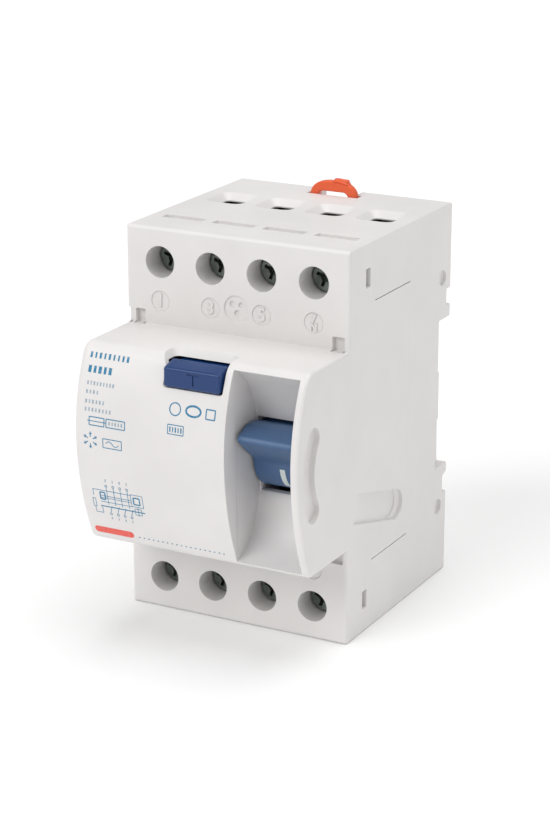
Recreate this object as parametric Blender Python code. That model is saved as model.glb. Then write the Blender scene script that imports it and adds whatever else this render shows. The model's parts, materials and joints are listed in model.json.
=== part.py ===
"""Four-pole residual current device for a 35 mm rail, three modules wide.

Metres, +Z up. The front faces -Y. The device stands on its lower end face, with the
origin under the middle of the whole body. Solids touch nowhere: a gap of GAP is left
wherever two pieces meet.
"""

import math

import bmesh
import bpy
from mathutils import Matrix, Vector

# ---- driving dimensions ------------------------------------------------------------
WIDTH = 0.054
HEIGHT = 0.088
DEPTH = 0.075
NOSE_REACH = 0.023
NOSE_HEIGHT = 0.0448
RAIL_WIDTH = 0.0352
RAIL_DEPTH = 0.0058
WALL = 0.0016
GAP = 0.0003
POLES = 4
POLE_PITCH = 0.01242
TERMINAL_FROM_END = 0.0076
SCREW_HOLE_RADIUS = 0.0035
LEVER_TRAVEL_DEG = 50.0

# ---- planes that follow from them --------------------------------------------------
HALF_WIDTH = WIDTH / 2
FRONT_Y = -DEPTH / 2
BACK_Y = DEPTH / 2
SHOULDER_Y = FRONT_Y + NOSE_REACH
RAIL_Y = BACK_Y - RAIL_DEPTH
MID_Z = HEIGHT / 2
NOSE_BOTTOM = MID_Z - NOSE_HEIGHT / 2
NOSE_TOP = MID_Z + NOSE_HEIGHT / 2
RAIL_BOTTOM = MID_Z - RAIL_WIDTH / 2
RAIL_TOP = MID_Z + RAIL_WIDTH / 2
INNER_X = HALF_WIDTH - WALL
INNER_BACK_Y = RAIL_Y - 0.0024
POLE_X = [(pole - (POLES - 1) / 2) * POLE_PITCH for pole in range(POLES)]
ROW_Z = {"line": HEIGHT - TERMINAL_FROM_END, "load": TERMINAL_FROM_END}

# ---- parting line between cover and base, seen from the side -------------------------
PARTING_Y = -0.0022
TONGUE_Y = 0.0156
TONGUE_BOTTOM = 0.0160
TONGUE_TOP = 0.0747

# ---- terminals -----------------------------------------------------------------------
SLEEVE_RADIUS = 0.0047
SLEEVE_END_Y = -0.0064
SCREW_HEAD_Y = -0.0050
SCREW_HEAD_RADIUS = 0.0031
SCREW_SHANK_RADIUS = 0.0019
SHELF_Y = -0.0019
SHELF_THICK = 0.0016
TONGUE_PLATE_Y = 0.0126
PLATE_THICK = 0.0016
CLAMP_FRONT_Y = 0.0056
CLAMP_BACK_Y = 0.0230
CLAMP_HALF_WIDTH = 0.0047
CLAMP_HALF_HEIGHT = 0.0042
WIRE_Y = 0.0180
WIRE_HALF_X = 0.0029
WIRE_HALF_Y = 0.0031

# ---- lever and its channel -----------------------------------------------------------
CHANNEL_LEFT = 0.0098
CHANNEL_RIGHT = 0.0252
PARTITION_LEFT = CHANNEL_LEFT - 0.0014
LEVER_Y = -0.0180
LEVER_Z = MID_Z
DRUM_RADIUS = 0.0078
LEVER_LEFT = 0.0103
LEVER_RIGHT = 0.0247
WEB_LEFT = 0.0162
WEB_RIGHT = 0.0186
SHAFT_RADIUS = 0.0014
SHAFT_BORE = 0.00175
CRANK_RADIUS = 0.0058
CRANK_ANGLE = math.radians(40)
CRANK_Y = LEVER_Y + CRANK_RADIUS * math.cos(CRANK_ANGLE)
CRANK_Z = LEVER_Z + CRANK_RADIUS * math.sin(CRANK_ANGLE)
LINK_LENGTH = 0.0132
LINK_WIRE = 0.0006
LINK_BORE = 0.00095

# ---- test button ---------------------------------------------------------------------
BUTTON_LEFT = -0.0051
BUTTON_RIGHT = 0.0079
BUTTON_BOTTOM = 0.0602
BUTTON_FRONT = -0.0357
BUTTON_BACK = -0.0250

# ---- rail clip -----------------------------------------------------------------------
CLIP_FRONT_Y = 0.0312
CLIP_THICK = 0.0020
CLIP_HALF_WIDTH = 0.0059
CLIP_WINDOW_HALF = 0.0026
GROOVE_LIP_Y = CLIP_FRONT_Y + CLIP_THICK + GAP

# ---- mechanism -----------------------------------------------------------------------
CARRIER_FRONT_Y = 0.0015
CARRIER_BACK_Y = 0.0080
CARRIER_BOTTOM = 0.0455
CARRIER_TOP = 0.0535
ARM_Y = 0.0100
ARM_THICK = 0.0012
TOROID_CENTRE = (0.0, 0.0100, 0.0270)
LATCH_Y = -0.0095
LATCH_Z = 0.0300

CYLINDER_SIDES = 24
SMALL_SIDES = 16


# ---- scene and material helpers ------------------------------------------------------
def clear_scene():
    for obj in list(bpy.data.objects):
        bpy.data.objects.remove(obj, do_unlink=True)


def make_material(name, color, roughness, metallic=0.0):
    material = bpy.data.materials.new(name)
    material.use_nodes = True
    shader = material.node_tree.nodes["Principled BSDF"]
    shader.inputs["Base Color"].default_value = (*color, 1.0)
    shader.inputs["Roughness"].default_value = roughness
    shader.inputs["Metallic"].default_value = metallic
    return material


# ---- mesh helpers --------------------------------------------------------------------
def add_box(mesh, x_range, y_range, z_range):
    """One closed block between three pairs of planes."""
    size = [pair[1] - pair[0] for pair in (x_range, y_range, z_range)]
    centre = [(pair[1] + pair[0]) / 2 for pair in (x_range, y_range, z_range)]
    matrix = Matrix.Translation(centre) @ Matrix.Diagonal((*size, 1.0))
    bmesh.ops.create_cube(mesh, size=1.0, matrix=matrix)


def add_prism(mesh, outline, axis, start, stop):
    """Extrude an outline along an axis; the outline lies in the other two axes, in order."""
    def place(first, second, along):
        if axis == "X":
            return (along, first, second)
        if axis == "Y":
            return (first, along, second)
        return (first, second, along)

    lower = [mesh.verts.new(place(a, b, start)) for a, b in outline]
    upper = [mesh.verts.new(place(a, b, stop)) for a, b in outline]
    faces = [mesh.faces.new(lower), mesh.faces.new(upper)]
    count = len(outline)
    for index in range(count):
        following = (index + 1) % count
        side = [lower[index], lower[following], upper[following], upper[index]]
        faces.append(mesh.faces.new(side))
    bmesh.ops.recalc_face_normals(mesh, faces=faces)


def circle(centre, radius, sides=CYLINDER_SIDES):
    step = 2 * math.pi / sides
    return [
        (centre[0] + radius * math.cos((k + 0.5) * step), centre[1] + radius * math.sin((k + 0.5) * step))
        for k in range(sides)
    ]


def add_cylinder(mesh, axis, centre, radius, start, stop, sides=CYLINDER_SIDES):
    add_prism(mesh, circle(centre, radius, sides), axis, start, stop)


def add_frustum(mesh, lower, upper):
    """A block between two level rectangles: each is (x_range, y_range, z)."""
    rings = []
    for x_range, y_range, z in (lower, upper):
        corners = [(0, 0), (1, 0), (1, 1), (0, 1)]
        rings.append([mesh.verts.new((x_range[i], y_range[j], z)) for i, j in corners])
    faces = [mesh.faces.new(rings[0]), mesh.faces.new(rings[1])]
    for index in range(4):
        following = (index + 1) % 4
        side = [rings[0][index], rings[0][following], rings[1][following], rings[1][index]]
        faces.append(mesh.faces.new(side))
    bmesh.ops.recalc_face_normals(mesh, faces=faces)


def rounded_rectangle(x_range, z_range, radius, steps=4):
    """Outline of a rectangle with round corners."""
    points = []
    corners = [
        (x_range[1] - radius, z_range[0] + radius, -90),
        (x_range[1] - radius, z_range[1] - radius, 0),
        (x_range[0] + radius, z_range[1] - radius, 90),
        (x_range[0] + radius, z_range[0] + radius, 180),
    ]
    for centre_x, centre_z, first in corners:
        for step in range(steps + 1):
            angle = math.radians(first + 90 * step / steps)
            points.append((centre_x + radius * math.cos(angle), centre_z + radius * math.sin(angle)))
    return points


def bezier(start, control, end, steps):
    """Points of a quadratic curve, both ends included."""
    points = []
    for step in range(steps + 1):
        t = step / steps
        weights = ((1 - t) ** 2, 2 * t * (1 - t), t * t)
        points.append(tuple(
            weights[0] * a + weights[1] * b + weights[2] * c for a, b, c in zip(start, control, end)
        ))
    return points


def smooth_path(points, steps):
    """Points of a smooth curve through a route's own points (Catmull-Rom)."""
    knots = [Vector(point) for point in points]
    knots = [2 * knots[0] - knots[1]] + knots + [2 * knots[-1] - knots[-2]]
    path = []
    for index in range(1, len(knots) - 2):
        before, first, second, after = knots[index - 1:index + 3]
        for step in range(steps):
            t = step / steps
            path.append(0.5 * (
                2 * first + (second - before) * t
                + (2 * before - 5 * first + 4 * second - after) * t ** 2
                + (3 * first - before - 3 * second + after) * t ** 3
            ))
    path.append(knots[-2])
    return path


def helix(axis, centre, radius, start, stop, turns, steps_per_turn):
    """Points along a coil; centre holds the two coordinates across the axis, in order."""
    count = int(turns * steps_per_turn)
    points = []
    for index in range(count + 1):
        angle = 2 * math.pi * index / steps_per_turn
        across = (centre[0] + radius * math.cos(angle), centre[1] + radius * math.sin(angle))
        along = start + (stop - start) * index / count
        if axis == "X":
            points.append((along, *across))
        elif axis == "Y":
            points.append((across[0], along, across[1]))
        else:
            points.append((*across, along))
    return points


# ---- object helpers ------------------------------------------------------------------
def finish_mesh(name, mesh, material, origin=(0.0, 0.0, 0.0), smooth_angle=30.0):
    """Turn a bmesh into an object whose own origin lies at the given world point."""
    bmesh.ops.translate(mesh, vec=-Vector(origin), verts=mesh.verts)
    data = bpy.data.meshes.new(name)
    mesh.to_mesh(data)
    mesh.free()
    data.shade_smooth()
    data.set_sharp_from_angle(angle=math.radians(smooth_angle))
    obj = bpy.data.objects.new(name, data)
    obj.location = origin
    bpy.context.scene.collection.objects.link(obj)
    if material:
        data.materials.append(material)
    return obj


def make_cutter(name, build):
    """A guide solid, left out of the model: build fills its bmesh."""
    mesh = bmesh.new()
    build(mesh)
    cutter = finish_mesh(name, mesh, None)
    cutter.hide_render = True
    cutter.display_type = "WIRE"
    return cutter


def combine(obj, operation, name, build):
    """Add one exact Boolean of the solids that build puts into a bmesh."""
    cutter = make_cutter(f"{obj.name}_{name}", build)
    modifier = obj.modifiers.new(name, "BOOLEAN")
    modifier.operation = operation
    modifier.solver = "EXACT"
    modifier.use_self = True
    modifier.object = cutter


def make_wire(name, points, radius, material, sides=8):
    """A round wire with closed ends along a list of points."""
    places = [Vector(point) for point in points]
    mesh = bmesh.new()
    rings = []
    across = None
    for index, place in enumerate(places):
        ahead = places[min(index + 1, len(places) - 1)]
        behind = places[max(index - 1, 0)]
        direction = (ahead - behind).normalized()
        if across is None:
            across = direction.orthogonal()
        across = (across - direction * across.dot(direction)).normalized()
        other = direction.cross(across)
        turns = [2 * math.pi * k / sides for k in range(sides)]
        rings.append([
            mesh.verts.new(place + radius * (math.cos(turn) * across + math.sin(turn) * other)) for turn in turns
        ])
    faces = [mesh.faces.new(rings[0]), mesh.faces.new(rings[-1])]
    for first, second in zip(rings, rings[1:]):
        for k in range(sides):
            following = (k + 1) % sides
            faces.append(mesh.faces.new((first[k], first[following], second[following], second[k])))
    bmesh.ops.recalc_face_normals(mesh, faces=faces)
    return finish_mesh(name, mesh, material, smooth_angle=50.0)


# ---- outlines of the housing ---------------------------------------------------------
NOSE_CREST_Z = 0.0470
NOSE_CURVE_BELOW = 0.055
NOSE_CURVE_ABOVE = 0.038


def nose_front(z):
    """The bowed front of the nose: a shallow curve, rounder above its crest than below."""
    radius = NOSE_CURVE_ABOVE if z > NOSE_CREST_Z else NOSE_CURVE_BELOW
    return FRONT_Y + (z - NOSE_CREST_Z) ** 2 / (2 * radius)


def nose_outline(inset=0.0, steps=12):
    """Points (y, z) down the nose from its top back to its bottom back."""
    top = NOSE_TOP - inset
    bottom = NOSE_BOTTOM + inset
    points = [(SHOULDER_Y, top)]
    for step in range(steps + 1):
        z = top + (bottom - top) * step / steps
        points.append((nose_front(z) + inset, z))
    points.append((SHOULDER_Y, bottom))
    return points


def cover_outline():
    side = [
        (SHOULDER_Y, HEIGHT), (PARTING_Y, HEIGHT), (PARTING_Y, TONGUE_TOP),
        (TONGUE_Y, TONGUE_TOP), (TONGUE_Y, TONGUE_BOTTOM), (PARTING_Y, TONGUE_BOTTOM),
        (PARTING_Y, 0.0), (SHOULDER_Y, 0.0),
    ]
    return side + list(reversed(nose_outline()))


# a shallow relief under the two fixed lips, so that the rail lies flat
LIP_RELIEF_TOP = 0.0280


def base_outline():
    """The back half from the side: rail seat in the middle, a latch notch above and below."""
    front = PARTING_Y + GAP
    notch = BACK_Y - 0.0020
    pad = RAIL_Y + 0.0006
    relief = RAIL_Y - 0.0004
    return [
        (front, HEIGHT), (BACK_Y, HEIGHT),
        (BACK_Y, 0.0683), (notch, 0.0683), (notch, 0.0646), (BACK_Y, 0.0646),
        (BACK_Y, RAIL_TOP), (RAIL_Y, RAIL_TOP),
        (RAIL_Y, 0.0497), (pad, 0.0497), (pad, 0.0383), (RAIL_Y, 0.0383),
        (RAIL_Y, LIP_RELIEF_TOP), (relief, LIP_RELIEF_TOP), (relief, RAIL_BOTTOM), (BACK_Y, RAIL_BOTTOM),
        (BACK_Y, 0.0241), (notch, 0.0234), (notch, 0.0194), (BACK_Y, 0.0194),
        (BACK_Y, 0.0), (front, 0.0),
        (front, TONGUE_BOTTOM - GAP), (TONGUE_Y + GAP, TONGUE_BOTTOM - GAP),
        (TONGUE_Y + GAP, TONGUE_TOP + GAP), (front, TONGUE_TOP + GAP),
    ]


# ---- the lever channel ---------------------------------------------------------------
CHANNEL_TOP = (-0.0324, 0.0652)
CHANNEL_UPPER_END = (-0.0232, 0.0526)
CHANNEL_SILL = (-0.0216, 0.0355)
CHANNEL_LEDGE = (-0.0224, 0.0345)
CHANNEL_BOTTOM = (-0.0320, 0.0226)


def channel_outline():
    """The scoop that the lever stands in: two hollow curves with the lever slot between."""
    outside = FRONT_Y - 0.0025
    upper = bezier(CHANNEL_TOP, (-0.0255, 0.0615), CHANNEL_UPPER_END, 6)
    lower = bezier(CHANNEL_LEDGE, (-0.0238, 0.0256), CHANNEL_BOTTOM, 6)
    return [(outside, CHANNEL_TOP[1])] + upper + [CHANNEL_SILL] + lower + [(outside, CHANNEL_BOTTOM[1])]


def behind_channel_outline():
    """The room behind the scoop's wall, for the drum and the link."""
    return [
        (-0.0125, 0.0648), (-0.0250, 0.0648), (-0.0229, 0.0600), (-0.0217, 0.0545),
        (-0.0212, 0.0526), (-0.0200, 0.0355), (-0.0209, 0.0338), (-0.0226, 0.0287),
        (-0.0246, 0.0250), (-0.0246, 0.0232), (-0.0125, 0.0232),
    ]


# ---- housing -------------------------------------------------------------------------
SNAP_Z = (0.0784, 0.0825)
SNAP_Y = (-0.0066, -0.0045)
POCKET_HEIGHT = 0.0031


def mirrored(z_range):
    """The same height range in the other half of the device."""
    return (HEIGHT - z_range[1], HEIGHT - z_range[0])


def build_front_cover(material):
    mesh = bmesh.new()
    add_prism(mesh, cover_outline(), "X", -HALF_WIDTH, HALF_WIDTH)
    cover = finish_mesh("front_cover", mesh, material)

    def hollow(cutter):
        add_box(cutter, (-INNER_X, INNER_X), (SHOULDER_Y + WALL, TONGUE_Y + 0.004), (WALL, HEIGHT - WALL))
        inner_nose = [(-0.0125, NOSE_TOP - WALL)] + nose_outline(WALL)[1:-1] + [(-0.0125, NOSE_BOTTOM + WALL)]
        add_prism(cutter, inner_nose, "X", -INNER_X, PARTITION_LEFT)
        add_prism(cutter, behind_channel_outline(), "X", CHANNEL_LEFT, CHANNEL_RIGHT)

    def sleeves(cutter):
        for row_z in ROW_Z.values():
            for x in POLE_X:
                add_cylinder(cutter, "Y", (x, row_z), SLEEVE_RADIUS, SHOULDER_Y + WALL / 2, SLEEVE_END_Y)
        add_box(cutter, (-0.0050, 0.0060), (-0.0170, -0.0155), (0.0585, NOSE_TOP - WALL / 2))

    def openings(cutter):
        for row_z in ROW_Z.values():
            for x in POLE_X:
                add_cylinder(cutter, "Y", (x, row_z), SCREW_HOLE_RADIUS, SHOULDER_Y - 0.001, SLEEVE_END_Y + 0.001)

    def channel(cutter):
        add_prism(cutter, channel_outline(), "X", CHANNEL_LEFT, CHANNEL_RIGHT)
        add_box(cutter, (CHANNEL_LEFT + 0.0002, CHANNEL_RIGHT - 0.0002), (-0.0240, -0.0190), (0.0355, 0.0526))
        shaft_centre = (LEVER_Y, LEVER_Z)
        add_cylinder(cutter, "X", shaft_centre, SHAFT_BORE, PARTITION_LEFT - 0.001, HALF_WIDTH - 0.0006, SMALL_SIDES)

    def button_recess(cutter):
        sides = (BUTTON_LEFT - GAP, BUTTON_RIGHT + GAP)
        wall_y = -0.0293
        add_box(cutter, sides, (FRONT_Y - 0.0025, -0.0300), (BUTTON_BOTTOM - GAP, 0.0647))
        lower = (sides, (FRONT_Y - 0.0025, wall_y), 0.0640)
        upper = ((sides[0] - 0.0022, sides[1] + 0.0020), (FRONT_Y - 0.0025, -0.0264), NOSE_TOP + 0.0004)
        add_frustum(cutter, lower, upper)

    def shoulder_pockets(cutter):
        for z_range in ((NOSE_TOP, NOSE_TOP + POCKET_HEIGHT), (NOSE_BOTTOM - POCKET_HEIGHT, NOSE_BOTTOM)):
            add_box(cutter, (0.0231, 0.0259), (SHOULDER_Y - 0.001, SHOULDER_Y + 0.0012), z_range)
            add_box(cutter, (-0.0248, -0.0225), (SHOULDER_Y - 0.001, SHOULDER_Y + 0.0012), z_range)
            add_box(cutter, (-HALF_WIDTH - 0.001, -0.02575), (SHOULDER_Y - 0.001, -0.0115), z_range)

    def top_slots(cutter):
        for x in POLE_X:
            for z_range in ((HEIGHT - 0.0009, HEIGHT + 0.001), (-0.001, 0.0009)):
                add_box(cutter, (x - 0.0049, x + 0.0049), (-0.0050, -0.0020 - GAP), z_range)

    def side_features(cutter):
        for z_range in (SNAP_Z, mirrored(SNAP_Z)):
            for side in (-1, 1):
                x_range = sorted((side * (INNER_X - 0.001), side * (HALF_WIDTH + 0.001)))
                add_box(cutter, x_range, SNAP_Y, z_range)
        add_prism(cutter, kidney_outline(), "X", HALF_WIDTH - 0.0010, HALF_WIDTH + 0.001)
        add_prism(cutter, groove_outline(), "X", HALF_WIDTH - 0.0008, HALF_WIDTH + 0.001)

    combine(cover, "DIFFERENCE", "hollow", hollow)
    combine(cover, "UNION", "sleeves", sleeves)
    combine(cover, "DIFFERENCE", "openings", openings)
    combine(cover, "DIFFERENCE", "channel", channel)
    combine(cover, "DIFFERENCE", "button_recess", button_recess)
    combine(cover, "DIFFERENCE", "shoulder_pockets", shoulder_pockets)
    combine(cover, "DIFFERENCE", "top_slots", top_slots)
    combine(cover, "DIFFERENCE", "side_features", side_features)
    return cover


def kidney_outline():
    """Curved slot for a tie bar, round at both ends, on a circle about the lever's shaft."""
    middle = 0.0142
    half = 0.0021
    reach = math.radians(34)
    points = []
    for step in range(9):
        angle = math.pi - reach + 2 * reach * step / 8
        points.append((LEVER_Y + (middle + half) * math.cos(angle), LEVER_Z + (middle + half) * math.sin(angle)))
    for step in range(1, 5):
        turn = math.pi + reach + math.pi * step / 5
        centre = (LEVER_Y + middle * math.cos(math.pi + reach), LEVER_Z + middle * math.sin(math.pi + reach))
        points.append((centre[0] + half * math.cos(turn), centre[1] + half * math.sin(turn)))
    for step in range(9):
        angle = math.pi + reach - 2 * reach * step / 8
        points.append((LEVER_Y + (middle - half) * math.cos(angle), LEVER_Z + (middle - half) * math.sin(angle)))
    for step in range(1, 5):
        turn = -reach + math.pi * step / 5
        centre = (LEVER_Y + middle * math.cos(math.pi - reach), LEVER_Z + middle * math.sin(math.pi - reach))
        points.append((centre[0] + half * math.cos(turn), centre[1] + half * math.sin(turn)))
    return points


def groove_outline():
    """Slanting groove with one round end, where a side accessory reaches in."""
    half = 0.0034
    round_centre = (0.0100, 0.0247)
    slope = math.radians(-15.2)
    along = (math.cos(slope), math.sin(slope))
    across = (-along[1], along[0])
    length = 0.0211
    points = []
    for sign in (1, -1):
        points.append((
            round_centre[0] - length * along[0] + sign * half * across[0],
            round_centre[1] - length * along[1] + sign * half * across[1],
        ))
    for step in range(9):
        angle = slope - math.pi / 2 + math.pi * step / 8
        points.append((round_centre[0] + half * math.cos(angle), round_centre[1] + half * math.sin(angle)))
    return points


def build_rear_base(material):
    mesh = bmesh.new()
    add_prism(mesh, base_outline(), "X", -HALF_WIDTH, HALF_WIDTH)
    base = finish_mesh("rear_base", mesh, material)

    def hollow(cutter):
        add_box(cutter, (-INNER_X, INNER_X), (PARTING_Y - 0.004, INNER_BACK_Y), (WALL, HEIGHT - WALL))
        block_back = BACK_Y - 0.0036
        for side in (-1, 1):
            beside_clip = sorted((side * 0.0082, side * INNER_X))
            add_box(cutter, beside_clip, (INNER_BACK_Y - 0.002, block_back), (RAIL_TOP + WALL, HEIGHT - WALL))
        add_box(cutter, (-INNER_X, INNER_X), (INNER_BACK_Y - 0.002, block_back), (WALL, RAIL_BOTTOM - WALL))

    def ribs(cutter):
        for name, row_z in ROW_Z.items():
            chamber = (0.0690, HEIGHT - WALL / 2) if name == "line" else (WALL / 2, 0.0190)
            for index in range(POLES - 1):
                x = (POLE_X[index] + POLE_X[index + 1]) / 2
                add_box(cutter, (x - 0.0006, x + 0.0006), (SHELF_Y, INNER_BACK_Y + WALL / 2), chamber)
            shelf = (TONGUE_TOP + GAP, HEIGHT - WALL / 2) if name == "line" else (WALL / 2, 0.0130)
            add_box(cutter, (-INNER_X - WALL / 2, INNER_X + WALL / 2), (SHELF_Y, SHELF_Y + SHELF_THICK), shelf)
            for side in (-1, 1):
                snap = SNAP_Z if name == "line" else mirrored(SNAP_Z)
                tongue = (snap[0] + GAP, snap[1] - GAP)
                arm = sorted((side * 0.0237, side * (INNER_X - GAP)))
                root = sorted((side * 0.0237, side * (INNER_X + WALL / 2)))
                hook = sorted((side * 0.0240, side * (HALF_WIDTH - 0.0008)))
                add_box(cutter, arm, (-0.0080, SHELF_Y + SHELF_THICK / 2), tongue)
                add_box(cutter, root, (SHELF_Y, 0.0010), tongue)
                add_box(cutter, hook, (SNAP_Y[0] + GAP, SNAP_Y[1] - GAP), tongue)

    def passages(cutter):
        for name, row_z in ROW_Z.items():
            face, inner, lip = (HEIGHT, HEIGHT - 0.004, -0.0009) if name == "line" else (0.0, 0.004, 0.0009)
            outside = face + (0.0009 if name == "line" else -0.0009)
            for x in POLE_X:
                add_cylinder(cutter, "Y", (x, row_z), 0.0024, SHELF_Y - 0.001, SHELF_Y + SHELF_THICK + 0.001,
                             SMALL_SIDES)
                hole_x = (x - WIRE_HALF_X, x + WIRE_HALF_X)
                hole_y = (WIRE_Y - WIRE_HALF_Y, WIRE_Y + WIRE_HALF_Y)
                wide_x = (x - 0.00635, x + 0.00635)
                wide_y = (WIRE_Y - 0.0071, WIRE_Y + 0.0071)
                add_box(cutter, hole_x, hole_y, sorted((inner, face + lip / 2)))
                add_frustum(cutter, (hole_x, hole_y, face + lip), (wide_x, wide_y, outside))

    def fixed_hooks(cutter):
        """Two lips that reach behind the lower edge of the rail."""
        for side in (-1, 1):
            lip_x = sorted((side * 0.0060, side * 0.0140))
            add_box(cutter, lip_x, (RAIL_Y + 0.0013, BACK_Y - 0.0010), (RAIL_BOTTOM - WALL / 2, RAIL_BOTTOM + 0.0012))

    def clip_groove(cutter):
        groove_x = CLIP_HALF_WIDTH + 0.0004
        add_box(cutter, (-groove_x, groove_x), (CLIP_FRONT_Y - GAP, GROOVE_LIP_Y), (RAIL_TOP - 0.001, HEIGHT + 0.001))
        add_box(cutter, (-0.0046, 0.0046), (GROOVE_LIP_Y - 0.0005, BACK_Y + 0.001), (RAIL_TOP - 0.001, HEIGHT + 0.001))

    def spring_post(cutter):
        add_box(cutter, (-0.0022, 0.0022), (CLIP_FRONT_Y - 0.0010, 0.0345), (0.0783, 0.0803))

    def side_dimples(cutter):
        for z in (0.0714, HEIGHT - 0.0714):
            for side in (-1, 1):
                ends = sorted((side * (HALF_WIDTH - 0.0008), side * (HALF_WIDTH + 0.001)))
                add_cylinder(cutter, "X", (0.0331, z), 0.0018, *ends, SMALL_SIDES)

    combine(base, "DIFFERENCE", "hollow", hollow)
    combine(base, "UNION", "ribs", ribs)
    combine(base, "DIFFERENCE", "passages", passages)
    combine(base, "UNION", "fixed_hooks", fixed_hooks)
    combine(base, "DIFFERENCE", "clip_groove", clip_groove)
    combine(base, "UNION", "spring_post", spring_post)
    combine(base, "DIFFERENCE", "side_dimples", side_dimples)
    return base


# ---- lever ---------------------------------------------------------------------------
def build_toggle_lever(material):
    """A drum on the shaft with a wedge-shaped paddle that stands out of the channel."""
    origin = (0.0, LEVER_Y, LEVER_Z)
    mesh = bmesh.new()
    add_cylinder(mesh, "X", (LEVER_Y, LEVER_Z), DRUM_RADIUS, LEVER_LEFT, LEVER_RIGHT, 32)
    lever = finish_mesh("toggle_lever", mesh, material, origin)

    def paddle(cutter):
        outline = [
            (-0.0255, 0.0438), (-0.0320, 0.0497), (-0.0325, 0.0502), (-0.0324, 0.0509),
            (-0.0285, 0.0523), (-0.0262, 0.0524), (-0.0235, 0.0502), (-0.0180, 0.0460), (-0.0180, 0.0438),
        ]
        add_prism(cutter, outline, "X", LEVER_LEFT, LEVER_RIGHT)

    def relief(cutter):
        add_box(cutter, (0.0120, WEB_LEFT), (LEVER_Y + 0.0020, 0.0), (0.0340, 0.0540))
        add_box(cutter, (WEB_RIGHT, 0.0230), (LEVER_Y + 0.0020, 0.0), (0.0340, 0.0540))
        add_cylinder(cutter, "X", (LEVER_Y, LEVER_Z), 0.0037, 0.0118, 0.0149, SMALL_SIDES)
        add_cylinder(cutter, "X", (LEVER_Y, LEVER_Z), SHAFT_BORE, LEVER_LEFT - 0.001, LEVER_RIGHT + 0.001, SMALL_SIDES)
        add_cylinder(cutter, "X", (CRANK_Y, CRANK_Z), LINK_BORE, WEB_LEFT - 0.001, WEB_RIGHT + 0.001, SMALL_SIDES)

    combine(lever, "UNION", "paddle", paddle)
    combine(lever, "DIFFERENCE", "relief", relief)
    for obj in bpy.data.objects:
        if obj.name.startswith("toggle_lever_"):
            obj.parent = lever
            obj.matrix_parent_inverse = Matrix.Translation(-Vector(origin))
    return lever


def build_lever_parts(materials):
    mesh = bmesh.new()
    add_cylinder(mesh, "X", (LEVER_Y, LEVER_Z), SHAFT_RADIUS, PARTITION_LEFT + 0.0004, HALF_WIDTH - 0.0009, SMALL_SIDES)
    finish_mesh("lever_shaft", mesh, materials["steel"])
    coil = helix("X", (LEVER_Y, LEVER_Z), 0.0028, 0.0125, 0.0140, 1.6, 12)
    make_wire("lever_spring", coil, 0.0004, materials["spring"])

    run_x = WEB_LEFT - 0.0010
    pin_x = WEB_RIGHT + 0.0006
    far_y = CRANK_Y + LINK_LENGTH
    bend = 0.0005
    route = [
        (pin_x, CRANK_Y, CRANK_Z), (run_x + bend, CRANK_Y, CRANK_Z), (run_x, CRANK_Y + bend, CRANK_Z),
        (run_x, far_y - bend, CRANK_Z), (run_x + bend, far_y, CRANK_Z), (pin_x, far_y, CRANK_Z),
    ]
    make_wire("drive_link", route, LINK_WIRE, materials["steel"])


# ---- test circuit --------------------------------------------------------------------
def build_test_button(materials):
    mesh = bmesh.new()
    outline = [
        (BUTTON_FRONT, BUTTON_BOTTOM), (BUTTON_FRONT, 0.0645), (-0.0315, 0.0654), (-0.0315, 0.0643),
        (BUTTON_BACK, 0.0643), (BUTTON_BACK, BUTTON_BOTTOM),
    ]
    add_prism(mesh, outline, "X", BUTTON_LEFT, BUTTON_RIGHT)
    button = finish_mesh("test_button", mesh, materials["button"])

    def stem(cutter):
        add_box(cutter, (0.0006, 0.0022), (BUTTON_BACK - 0.001, -0.0220), (0.0608, 0.0630))

    combine(button, "UNION", "stem", stem)
    coil = helix("Y", (-0.0025, 0.0618), 0.0013, BUTTON_BACK + 0.0025, -0.0176, 4, 10)
    make_wire("button_spring", coil, 0.00025, materials["spring"])

    mesh = bmesh.new()
    blade = [
        (-0.0197, 0.0640), (-0.0192, 0.0640), (-0.0192, 0.0525), (-0.0140, 0.0525),
        (-0.0140, 0.0520), (-0.0197, 0.0520),
    ]
    add_prism(mesh, blade, "X", 0.0004, 0.0024)
    finish_mesh("test_contact_blade", mesh, materials["brass"])

    mesh = bmesh.new()
    add_cylinder(mesh, "X", (-0.0180, 0.0560), 0.0018, -0.0140, -0.0045, SMALL_SIDES)
    finish_mesh("test_resistor", mesh, materials["resistor"])


# ---- terminals -----------------------------------------------------------------------
def build_terminals(materials):
    """Eight screws with their clamps; the first four stand in the upper row."""
    number = 0
    for row_z in ROW_Z.values():
        for x in POLE_X:
            number += 1
            build_screw(f"terminal_screw_{number}", x, row_z, materials["screw"])
            build_clamp(f"terminal_clamp_{number}", x, row_z, materials["zinc"])


def build_screw(name, x, z, material):
    mesh = bmesh.new()
    add_cylinder(mesh, "Y", (0.0, 0.0), SCREW_HEAD_RADIUS, SCREW_HEAD_Y, SCREW_HEAD_Y + 0.0028, SMALL_SIDES)
    screw = finish_mesh(name, mesh, material)
    screw.location = (x, 0.0, z)

    def shank(cutter):
        add_cylinder(cutter, "Y", (0.0, 0.0), SCREW_SHANK_RADIUS, SCREW_HEAD_Y + 0.0010, 0.0122, 12)

    def cross(cutter):
        depth = (SCREW_HEAD_Y - 0.001, SCREW_HEAD_Y + 0.0013)
        add_prism(cutter, cross_outline(0.0021, 0.00045), "Y", *depth)

    combine(screw, "UNION", "shank", shank)
    combine(screw, "DIFFERENCE", "cross", cross)
    attach_cutters(screw)


def cross_outline(reach, half):
    """A plus sign in one closed outline."""
    return [
        (reach, half), (half, half), (half, reach), (-half, reach), (-half, half), (-reach, half),
        (-reach, -half), (-half, -half), (-half, -reach), (half, -reach), (half, -half), (reach, -half),
    ]


def attach_cutters(obj):
    """Move an object's own cutters with it."""
    for modifier in obj.modifiers:
        modifier.object.parent = obj


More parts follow.
